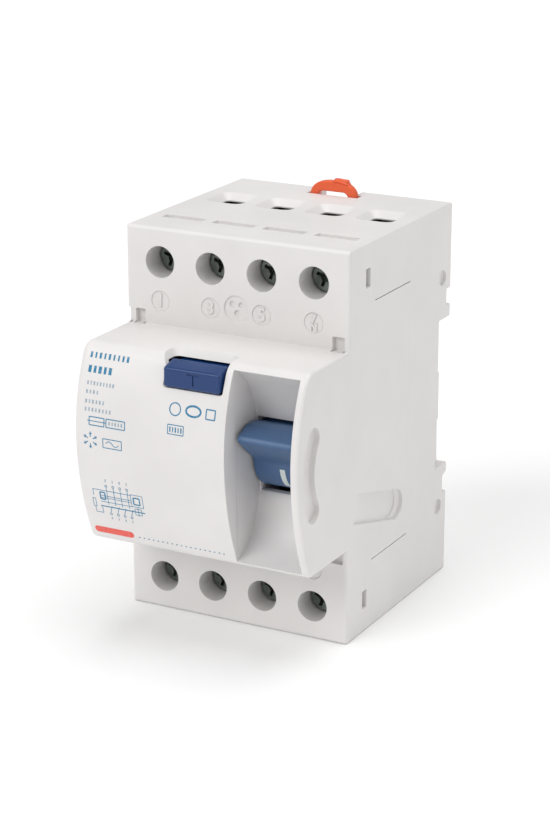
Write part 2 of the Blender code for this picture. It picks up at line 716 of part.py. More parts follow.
def build_clamp(name, x, z, material):
    """A square frame, open up and down; the screw draws it forward against the strip."""
    mesh = bmesh.new()
    half_x = CLAMP_HALF_WIDTH
    half_z = CLAMP_HALF_HEIGHT
    add_box(mesh, (-half_x, half_x), (CLAMP_FRONT_Y, CLAMP_BACK_Y), (-half_z, half_z))
    clamp = finish_mesh(name, mesh, material)
    clamp.location = (x, 0.0, z)

    def window(cutter):
        add_box(cutter, (-0.0037, 0.0037), (CLAMP_FRONT_Y + 0.0016, CLAMP_BACK_Y - 0.0015), (-0.005, 0.005))

    def thread(cutter):
        add_cylinder(cutter, "Y", (0.0, 0.0), 0.0023, CLAMP_FRONT_Y - 0.001, CLAMP_FRONT_Y + 0.002, SMALL_SIDES)

    combine(clamp, "DIFFERENCE", "window", window)
    combine(clamp, "DIFFERENCE", "thread", thread)
    attach_cutters(clamp)


def build_strips(materials):
    """Line strips end in the fixed contacts, load strips end where the leads start."""
    plate = (TONGUE_PLATE_Y, TONGUE_PLATE_Y + PLATE_THICK)
    for index, x in enumerate(POLE_X):
        mesh = bmesh.new()
        add_box(mesh, (x - 0.0032, x + 0.0032), plate, (0.0575, HEIGHT - 0.0026))
        strip = finish_mesh(f"line_strip_{index + 1}", mesh, materials["copper"])

        def contact(cutter, centre=x):
            add_box(cutter, (centre - 0.0020, centre + 0.0020), (plate[0] - 0.0007, plate[0] + 0.0004), (0.0580, 0.0620))

        combine(strip, "UNION", "contact", contact)

        mesh = bmesh.new()
        add_box(mesh, (x - 0.0032, x + 0.0032), plate, (0.0026, 0.0180))
        finish_mesh(f"load_strip_{index + 1}", mesh, materials["copper"])


def build_leads(materials):
    """Each lead runs from its load strip up through the toroid to its moving contact."""
    for index, x in enumerate(POLE_X):
        side = 1 if x > 0 else -1
        outer = abs(x) > POLE_PITCH
        core_x = side * 0.0024
        core_y = TOROID_CENTRE[1] + (-0.0024 if outer else 0.0024)
        if outer:
            below = [(x - side * 0.0020, 0.0120, 0.0208), (side * 0.0100, core_y + 0.0002, 0.0209),
                     (side * 0.0050, core_y, 0.0214)]
            above = [(side * 0.0060, 0.0078, 0.0346), (side * 0.0140, 0.0070, 0.0368)]
        else:
            below = [(x - side * 0.0012, 0.0130, 0.0203), (side * 0.0034, core_y + 0.0002, 0.0216)]
            above = [(side * 0.0034, 0.0102, 0.0362)]
        route = [(x, 0.0134, 0.0192)] + below
        route += [(core_x, core_y, 0.0240), (core_x, core_y, 0.0315)]
        route += above + [(x, 0.0072, 0.0418)]
        make_wire(f"primary_lead_{index + 1}", smooth_path(route, 3), 0.0011, materials["lead"])


# ---- moving contacts -----------------------------------------------------------------
def build_contacts(materials):
    mesh = bmesh.new()
    carrier_x = (-0.0244, 0.0244)
    add_box(mesh, carrier_x, (CARRIER_FRONT_Y, CARRIER_BACK_Y), (CARRIER_BOTTOM, CARRIER_TOP))
    carrier = finish_mesh("contact_carrier", mesh, materials["carrier"])
    spring_z = 0.0495
    far_y = CRANK_Y + LINK_LENGTH

    def ear(cutter):
        add_box(cutter, (WEB_LEFT, WEB_RIGHT), (far_y - 0.0024, CARRIER_FRONT_Y + 0.0005), (CRANK_Z - 0.0026, CRANK_Z + 0.0026))

    def bores(cutter):
        slot_z = (CRANK_Z - 0.0014, CRANK_Z + 0.0014)
        add_box(cutter, (WEB_LEFT - 0.001, WEB_RIGHT + 0.001), (far_y - 0.0011, far_y + 0.0011), slot_z)
        slot_ends = (WEB_LEFT - 0.0020, WEB_RIGHT + 0.0012)
        add_box(cutter, (slot_ends[0], WEB_LEFT), (CARRIER_FRONT_Y - 0.001, CARRIER_FRONT_Y + 0.0015), (0.046, 0.053))
        add_box(cutter, (WEB_RIGHT, slot_ends[1]), (CARRIER_FRONT_Y - 0.001, CARRIER_FRONT_Y + 0.0015), (0.046, 0.053))
        for x in POLE_X:
            add_cylinder(cutter, "Y", (x, spring_z), 0.0022, CARRIER_BACK_Y - 0.0020, CARRIER_BACK_Y + 0.001, SMALL_SIDES)

    combine(carrier, "UNION", "ear", ear)
    combine(carrier, "DIFFERENCE", "bores", bores)

    for index, x in enumerate(POLE_X):
        mesh = bmesh.new()
        add_box(mesh, (x - 0.0018, x + 0.0018), (ARM_Y, ARM_Y + ARM_THICK), (0.0434, 0.0622))
        arm = finish_mesh(f"moving_contact_{index + 1}", mesh, materials["copper"])

        def tip(cutter, centre=x):
            add_box(cutter, (centre - 0.0016, centre + 0.0016), (ARM_Y + 0.0006, ARM_Y + ARM_THICK + 0.0004), (0.0584, 0.0616))

        combine(arm, "UNION", "tip", tip)
        coil = helix("Y", (x, spring_z), 0.0015, CARRIER_BACK_Y - 0.0014, ARM_Y - 0.0006, 3, 10)
        make_wire(f"contact_spring_{index + 1}", coil, 0.00025, materials["spring"])


# ---- current transformer, relay and latch ------------------------------------------------
def add_ring(mesh, inner, outer, z_range, first=0.0, sweep=2 * math.pi, steps=32):
    """A ring of rectangular section about the toroid's axis, whole or only part of a turn."""
    closed = sweep > 2 * math.pi - 0.01
    sections = []
    for step in range(steps if closed else steps + 1):
        angle = first + sweep * step / steps
        ray = (math.cos(angle), math.sin(angle))
        corners = [(inner, z_range[0]), (outer, z_range[0]), (outer, z_range[1]), (inner, z_range[1])]
        sections.append([
            mesh.verts.new((TOROID_CENTRE[0] + r * ray[0], TOROID_CENTRE[1] + r * ray[1], z)) for r, z in corners
        ])
    return sections, closed


def skin_sections(mesh, sections, closed):
    faces = []
    pairs = list(zip(sections, sections[1:]))
    if closed:
        pairs.append((sections[-1], sections[0]))
    for first, second in pairs:
        for k in range(4):
            faces.append(mesh.faces.new((first[k], first[(k + 1) % 4], second[(k + 1) % 4], second[k])))
    return faces


def build_transformer(materials):
    centre_z = TOROID_CENTRE[2]
    mesh = bmesh.new()
    sections, closed = add_ring(mesh, 0.0080, 0.0115, (centre_z - 0.0032, centre_z + 0.0032))
    bmesh.ops.recalc_face_normals(mesh, faces=skin_sections(mesh, sections, closed))
    finish_mesh("toroid_core", mesh, materials["core"])

    mesh = bmesh.new()
    first = math.radians(200)
    sweep = math.radians(140)
    outer_ring, closed = add_ring(mesh, 0.0068, 0.0127, (centre_z - 0.0044, centre_z + 0.0044), first, sweep, 14)
    inner_ring, closed = add_ring(mesh, 0.0077, 0.0118, (centre_z - 0.0035, centre_z + 0.0035), first, sweep, 14)
    faces = skin_sections(mesh, outer_ring, closed) + skin_sections(mesh, inner_ring, closed)
    for end in (0, -1):
        for k in range(4):
            following = (k + 1) % 4
            faces.append(mesh.faces.new((
                outer_ring[end][k], outer_ring[end][following], inner_ring[end][following], inner_ring[end][k]
            )))
    bmesh.ops.recalc_face_normals(mesh, faces=faces)
    finish_mesh("toroid_winding", mesh, materials["winding"])


def build_trip_unit(materials):
    plunger_x = -0.0150
    plunger_z = 0.0370
    mesh = bmesh.new()
    add_box(mesh, (-0.0230, -0.0070), (-0.0310, -0.0150), (0.0280, 0.0460))
    relay = finish_mesh("trip_relay", mesh, materials["relay"])

    def plunger_bore(cutter):
        add_cylinder(cutter, "Y", (plunger_x, plunger_z), 0.0016, -0.0190, -0.0140, SMALL_SIDES)

    combine(relay, "DIFFERENCE", "plunger_bore", plunger_bore)

    mesh = bmesh.new()
    add_cylinder(mesh, "Y", (plunger_x, plunger_z), 0.0012, -0.0186, -0.0106, SMALL_SIDES)
    finish_mesh("relay_plunger", mesh, materials["steel"])

    mesh = bmesh.new()
    add_cylinder(mesh, "X", (LATCH_Y, LATCH_Z), 0.0022, -0.0170, 0.0130, SMALL_SIDES)
    latch = finish_mesh("trip_latch", mesh, materials["carrier"])

    def arms(cutter):
        add_box(cutter, (plunger_x - 0.0015, plunger_x + 0.0015), (-0.0103, -0.0089), (LATCH_Z, 0.0385))
        add_box(cutter, (0.0105, 0.0130), (-0.0101, -0.0087), (LATCH_Z, 0.0360))

    def bore(cutter):
        add_cylinder(cutter, "X", (LATCH_Y, LATCH_Z), 0.0013, -0.0180, 0.0140, SMALL_SIDES)

    combine(latch, "UNION", "arms", arms)
    combine(latch, "DIFFERENCE", "bore", bore)

    mesh = bmesh.new()
    add_cylinder(mesh, "X", (LATCH_Y, LATCH_Z), 0.0010, -INNER_X + GAP, INNER_X - GAP, 12)
    finish_mesh("latch_shaft", mesh, materials["steel"])


# ---- rail clip -----------------------------------------------------------------------
CLIP_BOTTOM = 0.0620
CLIP_ARCH_BASE = 0.0860
CLIP_TOP = 0.0912


def clip_outline(steps=8):
    """Plate with an arched pull at its upper end."""
    half = CLIP_HALF_WIDTH
    points = [(half, CLIP_BOTTOM), (half, CLIP_ARCH_BASE)]
    for step in range(1, steps):
        angle = math.pi * step / steps
        reach = math.copysign(abs(math.cos(angle)) ** 0.8, math.cos(angle))
        rise = math.sin(angle) ** 0.62
        points.append((half * reach, CLIP_ARCH_BASE + (CLIP_TOP - CLIP_ARCH_BASE) * rise))
    return points + [(-half, CLIP_ARCH_BASE), (-half, CLIP_BOTTOM)]


def build_rail_clip(materials):
    back_y = CLIP_FRONT_Y + CLIP_THICK
    mesh = bmesh.new()
    add_prism(mesh, clip_outline(), "Y", CLIP_FRONT_Y, back_y)
    clip = finish_mesh("rail_clip", mesh, materials["clip"])

    def nib(cutter):
        add_box(cutter, (-0.0043, 0.0043), (RAIL_Y + 0.0013, BACK_Y - 0.0010), (0.0596, 0.0640))
        add_box(cutter, (0.0002, 0.0036), (CLIP_FRONT_Y + 0.0002, back_y - 0.0002), (0.0900, 0.0917))

    def windows(cutter):
        pull = rounded_rectangle((-0.0037, 0.0037), (0.0844, 0.0887), 0.0012, 3)
        add_prism(cutter, pull, "Y", CLIP_FRONT_Y - 0.001, back_y + 0.001)
        half = CLIP_WINDOW_HALF
        add_box(cutter, (-half, half), (CLIP_FRONT_Y - 0.001, back_y + 0.0005), (0.0680, 0.0826))

    combine(clip, "UNION", "nib", nib)
    combine(clip, "DIFFERENCE", "windows", windows)
    coil = helix("Z", (0.0, 0.0330), 0.0014, 0.0688, 0.0776, 4, 10)
    make_wire("rail_clip_spring", coil, 0.0003, materials["spring"])


# ---- the whole device ----------------------------------------------------------------
def build_materials():
    return {
        "housing": make_material("housing_plastic", (0.76, 0.74, 0.73), 0.45),
        "button": make_material("button_plastic", (0.014, 0.05, 0.26), 0.3),
        "lever": make_material("lever_plastic", (0.05, 0.13, 0.30), 0.42),
        "clip": make_material("clip_plastic", (0.86, 0.13, 0.03), 0.38),
        "carrier": make_material("carrier_plastic", (0.10, 0.10, 0.11), 0.5),
        "steel": make_material("bright_steel", (0.62, 0.62, 0.63), 0.3, 1.0),
        "screw": make_material("screw_steel", (0.34, 0.37, 0.36), 0.35, 1.0),
        "zinc": make_material("clamp_zinc", (0.55, 0.57, 0.58), 0.4, 1.0),
        "spring": make_material("spring_wire", (0.45, 0.45, 0.46), 0.35, 1.0),
        "copper": make_material("strip_copper", (0.72, 0.36, 0.22), 0.35, 1.0),
        "brass": make_material("blade_brass", (0.72, 0.54, 0.24), 0.35, 1.0),
        "lead": make_material("lead_enamel", (0.33, 0.10, 0.04), 0.35),
        "core": make_material("core_case", (0.05, 0.12, 0.07), 0.5),
        "winding": make_material("winding_enamel", (0.45, 0.16, 0.07), 0.4),
        "relay": make_material("relay_case", (0.06, 0.06, 0.07), 0.45),
        "resistor": make_material("resistor_body", (0.30, 0.22, 0.14), 0.55),
    }


def main():
    clear_scene()
    materials = build_materials()
    build_front_cover(materials["housing"])
    build_rear_base(materials["housing"])
    build_toggle_lever(materials["lever"])
    build_lever_parts(materials)
    build_test_button(materials)
    build_terminals(materials)
    build_strips(materials)
    build_leads(materials)
    build_contacts(materials)
    build_transformer(materials)
    build_trip_unit(materials)
    build_rail_clip(materials)
    bpy.context.view_layer.update()


main()
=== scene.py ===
"""Looks of a four-pole residual current device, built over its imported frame.

Lengths in properties are metres; the shape helpers take millimetres in the frame's own
axes: X to the lever side, Y to the rail, Z up.
"""

import json
import math

import bmesh
import bpy
from bpy.props import FloatProperty, FloatVectorProperty, IntProperty, PointerProperty
from mathutils import Matrix, Vector

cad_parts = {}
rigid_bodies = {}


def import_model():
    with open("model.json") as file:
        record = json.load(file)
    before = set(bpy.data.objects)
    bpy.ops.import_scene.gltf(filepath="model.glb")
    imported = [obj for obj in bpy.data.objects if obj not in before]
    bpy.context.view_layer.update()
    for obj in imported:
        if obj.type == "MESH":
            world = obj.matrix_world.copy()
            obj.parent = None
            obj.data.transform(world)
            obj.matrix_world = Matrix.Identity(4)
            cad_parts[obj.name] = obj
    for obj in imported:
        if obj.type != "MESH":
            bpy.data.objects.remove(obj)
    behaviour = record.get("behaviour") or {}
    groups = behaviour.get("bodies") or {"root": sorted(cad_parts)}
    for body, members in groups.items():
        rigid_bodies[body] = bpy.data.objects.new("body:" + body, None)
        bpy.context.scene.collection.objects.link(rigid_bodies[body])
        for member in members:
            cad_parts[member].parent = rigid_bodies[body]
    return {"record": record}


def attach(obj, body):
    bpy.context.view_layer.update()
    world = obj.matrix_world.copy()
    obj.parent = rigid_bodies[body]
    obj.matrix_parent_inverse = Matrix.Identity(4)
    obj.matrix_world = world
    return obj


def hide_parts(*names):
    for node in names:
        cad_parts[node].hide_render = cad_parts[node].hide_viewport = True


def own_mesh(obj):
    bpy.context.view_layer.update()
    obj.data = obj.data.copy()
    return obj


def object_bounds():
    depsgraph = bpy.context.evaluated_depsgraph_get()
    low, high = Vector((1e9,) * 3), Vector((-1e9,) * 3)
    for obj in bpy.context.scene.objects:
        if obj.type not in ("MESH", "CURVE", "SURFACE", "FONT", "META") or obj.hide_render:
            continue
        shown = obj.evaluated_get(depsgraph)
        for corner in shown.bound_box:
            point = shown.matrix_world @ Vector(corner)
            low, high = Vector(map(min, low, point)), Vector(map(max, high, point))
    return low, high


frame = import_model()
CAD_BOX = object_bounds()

bl_info = {
    "name": "Residual current device",
    "version": (1, 0, 0),
    "blender": (4, 5, 0),
    "location": "3D View > Sidebar > Device",
    "description": "Builds the housing, lever, button, terminals and printing of a rail-mounted device",
    "category": "Object",
}

MM = 0.001
POLES = 4
PITCH = 12.42
POLE_X = [(pole - (POLES - 1) / 2) * PITCH for pole in range(POLES)]
HALF_WIDTH = CAD_BOX[1].x / MM
HEIGHT = 88.0
FRONT = CAD_BOX[0].y / MM
BACK = CAD_BOX[1].y / MM
SHOULDER = FRONT + 23.0
RAIL = BACK - 5.8
NOSE_BOTTOM, NOSE_TOP = 21.6, 66.4
RAIL_BOTTOM, RAIL_TOP = 26.4, 61.6
ROW_Z = {"line": HEIGHT - 7.6, "load": 7.6}
PARTING, TONGUE = -2.2, 15.6
TONGUE_BOTTOM, TONGUE_TOP = 16.0, 74.7
CHANNEL = (9.8, 25.2)
CHANNEL_BOTTOM, CHANNEL_TOP = 22.6, 65.2
PARTITION = 8.4
PIVOT = (-18.0, 44.0)
SNAP_Z = (78.4, 82.5)
SNAP_Y = (-6.6, -4.5)
NUMBER_Z = (HEIGHT - 16.25, 16.25)
SHAFT_RADIUS = 1.75
SCREW_FACE = -9.0
OUTSIDE = FRONT - 2.5  # where the cuts into the nose start


# ---- sizes and colours a user would change ---------------------------------------------
def length(name, description, default):
    return FloatProperty(name=name, description=description, default=default, unit="LENGTH", precision=5)


def color(name, description, default):
    return FloatVectorProperty(
        name=name, description=description, default=default, subtype="COLOR", size=3, min=0.0, max=1.0
    )


class DeviceHousing(bpy.types.PropertyGroup):
    wall: length("Wall", "Thickness of the moulded walls", 0.0016)
    nose_round: length("Nose rounding", "Largest rounding on the edges of the nose", 0.0022)
    fine_round: length("Fine rounding", "Rounding on the small moulded edges", 0.00018)
    seam: length("Seam", "Gap along the level seams between cover and base", 0.00022)
    hole_radius: length("Screw hole radius", "Radius of the holes over the terminal screws", 0.0035)
    tint: color("Housing colour", "Colour of cover and base", (0.742, 0.722, 0.712))


class DeviceLever(bpy.types.PropertyGroup):
    drum_radius: length("Drum radius", "Radius of the lever's drum", 0.0078)
    rounding: length("Lever rounding", "Rounding on the lever's edges", 0.00028)
    tint: color("Lever colour", "Colour of the lever", (0.058, 0.126, 0.258))
    mark: color("Mark colour", "Colour of the position mark", (0.66, 0.72, 0.70))


class DeviceButton(bpy.types.PropertyGroup):
    rounding: length("Button rounding", "Rounding on the button's edges", 0.0005)
    tint: color("Button colour", "Colour of the test button", (0.003, 0.036, 0.150))


class DeviceTerminals(bpy.types.PropertyGroup):
    head_radius: length("Head radius", "Radius of the terminal screw heads", 0.0033)
    head_height: length("Head height", "Height of the terminal screw heads", 0.0028)
    slot_width: length("Slot width", "Width of the cross slot", 0.0008)
    numeral: length("Numeral height", "Height of the raised terminal numbers", 0.0029)
    metal: color("Screw colour", "Colour of the screws", (0.22, 0.25, 0.23))


class DeviceClip(bpy.types.PropertyGroup):
    rounding: length("Clip rounding", "Rounding on the edges of the rail clip", 0.00045)
    coils: IntProperty(name="Coils", description="Turns of the clip's spring", default=8, min=3, max=20)
    tint: color("Clip colour", "Colour of the rail clip", (0.80, 0.115, 0.032))


class DevicePrint(bpy.types.PropertyGroup):
    thickness: length("Ink thickness", "How far the printing stands proud", 0.00003)
    seed: IntProperty(name="Seed", description="Seed for the lengths of the blank text rows", default=4)
    ink: color("Ink colour", "Colour of the printing", (0.008, 0.185, 0.345))
    band: color("Band colour", "Colour of the plain band at the foot of the label", (0.78, 0.095, 0.070))


class DeviceStage(bpy.types.PropertyGroup):
    lens: FloatProperty(name="Lens", description="Focal length of the camera in millimetres", default=102.25)
    distance: length("Camera distance", "From the camera to its target", 0.50153)
    azimuth: FloatProperty(name="Azimuth", description="Camera angle round the device", default=28.013)
    elevation: FloatProperty(name="Elevation", description="Camera angle above the floor", default=18.09)
    target: FloatVectorProperty(name="Target", description="Point the camera looks at", size=3,
                                default=(0.00951, -0.0145, 0.05065), subtype="TRANSLATION")
    floor: color("Floor colour", "Colour of the floor", (0.97, 0.97, 0.97))


GROUPS = {
    "device_housing": DeviceHousing,
    "device_lever": DeviceLever,
    "device_button": DeviceButton,
    "device_terminals": DeviceTerminals,
    "device_clip": DeviceClip,
    "device_print": DevicePrint,
    "device_stage": DeviceStage,
}


# ---- shader sockets as Python expressions ----------------------------------------------
class Signal:
    """An output socket of a material that can stand in sums and products."""

    def __init__(self, graph, socket):
        self.graph = graph
        self.socket = socket

    def math(self, operation, first, second):
        return self.graph.add("ShaderNodeMath", {"operation": operation}, {0: first, 1: second})

    def __add__(self, other):
        return self.math("ADD", self, other)

    def __radd__(self, other):
        return self.math("ADD", other, self)

    def __mul__(self, other):
        return self.math("MULTIPLY", self, other)

    def __rmul__(self, other):
        return self.math("MULTIPLY", other, self)


class Finish:
    """A material whose nodes are added one by one."""

    def __init__(self, name, roughness=0.45, metallic=0.0, specular=0.5):
        self.material = bpy.data.materials.new(name)
        self.material.use_nodes = True
        self.nodes = self.material.node_tree.nodes
        self.links = self.material.node_tree.links
        self.shader = self.nodes["Principled BSDF"]
        self.shader.inputs["Roughness"].default_value = roughness
        self.shader.inputs["Metallic"].default_value = metallic
        self.shader.inputs["Specular IOR Level"].default_value = specular

    def add(self, kind, settings=None, values=None, output=0):
        """Add any node: settings first, then the values or links of its sockets."""
        node = self.nodes.new(kind)
        for key, value in (settings or {}).items():
            setattr(node, key, value)
        for key, value in (values or {}).items():
            self.feed(node.inputs[key], value)
        return Signal(self, node.outputs[output])

    def feed(self, socket, value):
        if isinstance(value, Signal):
            self.links.new(value.socket, socket)
        else:
            socket.default_value = value

    def place(self, scale=(1.0, 1.0, 1.0)):
        """Object coordinates, stretched along the axes if wanted."""
        plain = self.add("ShaderNodeTexCoord", output="Object")
        return self.add("ShaderNodeMapping", None, {"Vector": plain, "Scale": scale})

    def noise(self, scale, detail=3.0, rough=0.55, stretch=(1.0, 1.0, 1.0)):
        return self.add(
            "ShaderNodeTexNoise", None,
            {"Vector": self.place(stretch), "Scale": scale, "Detail": detail, "Roughness": rough},
        )

    def ramp(self, value, low, high, first=0.0, last=1.0):
        return self.add("ShaderNodeMapRange", {"clamp": True}, {
            "Value": value, "From Min": low, "From Max": high, "To Min": first, "To Max": last})

    def blend(self, factor, first, second):
        """Mix two colours."""
        return self.add(
            "ShaderNodeMix", {"data_type": "RGBA"}, {0: factor, 6: as_color(first), 7: as_color(second)}, 2
        )

    def bump(self, height, distance):
        relief = self.add("ShaderNodeBump", None, {"Strength": 1.0, "Distance": distance, "Height": height})
        self.feed(self.shader.inputs["Normal"], relief)

    def set(self, **inputs):
        for name, value in inputs.items():
            value = value if isinstance(value, (Signal, float)) else as_color(value)
            self.feed(self.shader.inputs[name.replace("_", " ")], value)
        return self.material


def as_color(value):
    return value if isinstance(value, Signal) else (*value, 1.0)


def shade(tint, amount):
    return tuple(min(1.0, max(0.0, channel * amount)) for channel in tint)


def moulded_plastic(name, tint, roughness, grain=0.000006, mottle=0.03):
    """Injection-moulded plastic: a faint cloudiness, a spark-eroded grain and uneven gloss."""
    finish = Finish(name, roughness)
    cloud = finish.noise(60.0, 2.0)
    speck = finish.noise(5200.0, 2.0)
    dull, bright = shade(tint, 1.0 - mottle), shade(tint, 1.0 + mottle * 0.5)
    tone = finish.blend(finish.ramp(cloud, 0.35, 0.65), dull, bright)
    tone = finish.blend(finish.ramp(speck, 0.62, 0.8, 0.0, 0.25), tone, shade(tint, 0.93))
    finish.bump(speck + finish.noise(1400.0, 1.0) * 0.6, grain)
    gloss = finish.ramp(cloud, 0.3, 0.7, roughness - 0.04, roughness + 0.05)
    return finish.set(Base_Color=tone, Roughness=gloss)


def worked_metal(name, tint, roughness, stretch=(1.0, 1.0, 1.0)):
    """Plated or rolled metal with drawn scratches and dull patches."""
    finish = Finish(name, roughness, 1.0)
    drawn = finish.noise(900.0, 4.0, 0.6, stretch)
    patch = finish.noise(420.0, 3.0)
    tone = finish.blend(finish.ramp(patch, 0.4, 0.7), tint, shade(tint, 0.65))
    tone = finish.blend(finish.ramp(drawn, 0.55, 0.75, 0.0, 0.5), tone, shade(tint, 1.35))
    finish.bump(drawn, 0.000008)
    gloss = finish.ramp(patch, 0.3, 0.7, roughness - 0.08, roughness + 0.14)
    return finish.set(Base_Color=tone, Roughness=gloss)


def printed_ink(name, tint):
    """Pad-printed ink, a little thin in places."""
    finish = Finish(name, 0.5)
    thin = finish.noise(2600.0, 2.0)
    worn = (0.60, 0.66, 0.70)
    return finish.set(Base_Color=finish.blend(finish.ramp(thin, 0.5, 0.8, 0.0, 0.3), tint, worn))


def pale_floor(name, tint):
    """Matt paint with the faintest cloudiness."""
    finish = Finish(name, 0.6, specular=0.1)
    cloud = finish.noise(3.0, 1.0)
    return finish.set(Base_Color=finish.blend(finish.ramp(cloud, 0.3, 0.7), tint, shade(tint, 0.985)))


# ---- solids in millimetres -------------------------------------------------------------
def extrude(mesh, outline, axis, start, stop):
    """Extrude an outline along an axis; the outline lies in the other two axes, in order."""
    def place(first, second, along):
        spots = {"X": (along, first, second), "Y": (first, along, second), "Z": (first, second, along)}
        return Vector(spots[axis]) * MM

    lower = [mesh.verts.new(place(a, b, start)) for a, b in outline]
    upper = [mesh.verts.new(place(a, b, stop)) for a, b in outline]
    close_rings(mesh, [lower, upper])


def close_rings(mesh, rings):
    """Skin rings of equal count, with a face over each end."""
    faces = [mesh.faces.new(rings[0]), mesh.faces.new(rings[-1])]
    for first, second in zip(rings, rings[1:]):
        for index in range(len(first)):
            after = (index + 1) % len(first)
            faces.append(mesh.faces.new((first[index], first[after], second[after], second[index])))
    bmesh.ops.recalc_face_normals(mesh, faces=faces)


def loft(mesh, levels):
    """Level outlines (x, y) at given heights, joined into one solid."""
    rings = [[mesh.verts.new(Vector((x, y, z)) * MM) for x, y in outline] for outline, z in levels]
    close_rings(mesh, rings)


def block(mesh, x, y, z):
    extrude(mesh, [(x[0], y[0]), (x[1], y[0]), (x[1], y[1]), (x[0], y[1])], "Z", z[0], z[1])


def spot(centre, radius, turn):
    """The point at this radius and this angle, in radians, from a centre."""
    return (centre[0] + radius * math.cos(turn), centre[1] + radius * math.sin(turn))


def circle(centre, radius, sides=48):
    return [spot(centre, radius, 2 * math.pi * (k + 0.5) / sides) for k in range(sides)]


def round_box(x, y, radius, steps=5):
    """Rectangle with round corners, as an outline."""
    left, right, near, far = x[0] + radius, x[1] - radius, y[0] + radius, y[1] - radius
    corners = (((right, near), -90), ((right, far), 0), ((left, far), 90), ((left, near), 180))
    return [spot(centre, radius, math.radians(first + 90 * step / steps))
            for centre, first in corners for step in range(steps + 1)]


def curve(start, control, end, steps=14):
    """Quadratic curve, both ends included."""
    shares = [step / steps for step in range(steps + 1)]
    return [tuple((1 - t) ** 2 * a + 2 * t * (1 - t) * b + t * t * c for a, b, c in zip(start, control, end))
            for t in shares]


def both_ends(z):
    """A height range and its mirror image in the other half of the device."""
    return [z, (HEIGHT - z[1], HEIGHT - z[0])]


def beside(side, inside, outside):
    """The X range between two distances from the middle, on one side of it."""
    return sorted((side * inside, side * outside))


# ---- pieces ----------------------------------------------------------------------------
BEVEL_WEIGHT = "bevel_weight_edge"


def add_object(name, data):
    obj = bpy.data.objects.new(name, data)
    bpy.context.scene.collection.objects.link(obj)
    return obj


def paint(obj, material):
    obj.data.materials.clear()
    obj.data.materials.append(material)


def make_piece(name, build, weights=None):
    """A mesh object from the solids that build puts into a bmesh."""
    mesh = bmesh.new()
    build(mesh)
    if weights:
        layer = mesh.edges.layers.float.new(BEVEL_WEIGHT)
        for edge in mesh.edges:
            ends = [vert.co / MM for vert in edge.verts]
            edge[layer] = weights((ends[0] + ends[1]) / 2, (ends[1] - ends[0]).normalized())
    data = bpy.data.meshes.new(name)
    mesh.to_mesh(data)
    mesh.free()
    return add_object(name, data)


def evaluated_mesh(obj):
    graph = bpy.context.evaluated_depsgraph_get()
    graph.update()
    return bpy.data.meshes.new_from_object(obj.evaluated_get(graph), depsgraph=graph)


def settle(obj):
    """Turn an object with modifiers into a plain mesh."""
    data = evaluated_mesh(obj)
    old = obj.data
    obj.modifiers.clear()
    obj.data = data
    data.name = obj.name
    bpy.data.meshes.remove(old)
    return obj


def combine(obj, operation, other, use_self):
    """Join, cut or keep with another object, which is used up."""
    modifier = obj.modifiers.new("carve", "BOOLEAN")
    modifier.operation = operation
    modifier.solver = "EXACT"
    modifier.use_self = use_self
    modifier.object = other
    settle(obj)
    bpy.data.objects.remove(other, do_unlink=True)
    return obj


def carve(obj, operation, *builds):
    """Join, cut or keep in turn with the solids that each builder puts into a bmesh."""
    for build in builds:
        combine(obj, operation, make_piece("cutter", build), True)


def tidy_faces(obj):
    """Merge what the cuts left split: coplanar faces and doubled points."""
    mesh = bmesh.new()
    mesh.from_mesh(obj.data)
    bmesh.ops.remove_doubles(mesh, verts=mesh.verts, dist=0.000004)
    bmesh.ops.dissolve_limit(mesh, angle_limit=math.radians(0.6), verts=mesh.verts, edges=mesh.edges)
    mesh.to_mesh(obj.data)
    mesh.free()


def weigh_creases(obj, plain, angle=33.0):
    """Give every crease a full bevel weight, but none where plain says the spot stays sharp."""
    mesh = bmesh.new()
    mesh.from_mesh(obj.data)
    layers = mesh.edges.layers.float
    layer = layers.get(BEVEL_WEIGHT) or layers.new(BEVEL_WEIGHT)
    for edge in mesh.edges:
        middle = (edge.verts[0].co + edge.verts[1].co) / 2 / MM
        creased = len(edge.link_faces) == 2 and edge.calc_face_angle(0.0) > math.radians(angle)
        edge[layer] = 1.0 if creased and not plain(middle) else 0.0
    mesh.to_mesh(obj.data)
    mesh.free()


def stays_sharp(middle):
    """Whether a spot lies on the parting faces, or on the thin upper lip of the lever's channel."""
    over_channel = CHANNEL[0] - 0.3 < middle.x < CHANNEL[1] + 0.3
    if over_channel and middle.y < -31.0 and abs(middle.z - CHANNEL_TOP - 0.2) < 0.8:
        return True
    level = min(abs(middle.z - TONGUE_TOP), abs(middle.z - TONGUE_BOTTOM)) < 0.4
    if level and PARTING - 0.1 < middle.y < TONGUE + 0.2:
        return True
    return abs(middle.y - PARTING) < 0.1 or abs(middle.y - TONGUE) < 0.1


def soften(obj, width, segments=2, angle=35.0, weighted=False):
    """Round edges by their angle or by their own weights, then shade smooth."""
    modifier = obj.modifiers.new("soften", "BEVEL")
    modifier.width = width
    modifier.segments = segments
    modifier.limit_method = "WEIGHT" if weighted else "ANGLE"
    modifier.angle_limit = math.radians(angle)
    modifier.use_clamp_overlap = False
    modifier.miter_outer = "MITER_ARC"
    return settle(obj)


def smooth(obj, angle=29.0):
    obj.data.shade_smooth()
    obj.data.set_sharp_from_angle(angle=math.radians(angle))
    modifier = obj.modifiers.new("normals", "WEIGHTED_NORMAL")
    modifier.keep_sharp = True
    modifier.weight = 80
    return settle(obj)


def hand_over(obj, material, body, slot, *nodes):
    """Give a finished piece its material and its body, and hide the nodes it stands for; the slot argument is
    not used.
    """
    if material:
        paint(obj, material)
    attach(obj, body)
    if nodes:
        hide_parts(*nodes)
    return obj


# ---- outlines of the housing -----------------------------------------------------------
def nose_bow(z):
    """Height above the foremost line of the nose, and the radius of its bow there."""
    return z - 47.0, 38.0 if z > 47.0 else 55.0


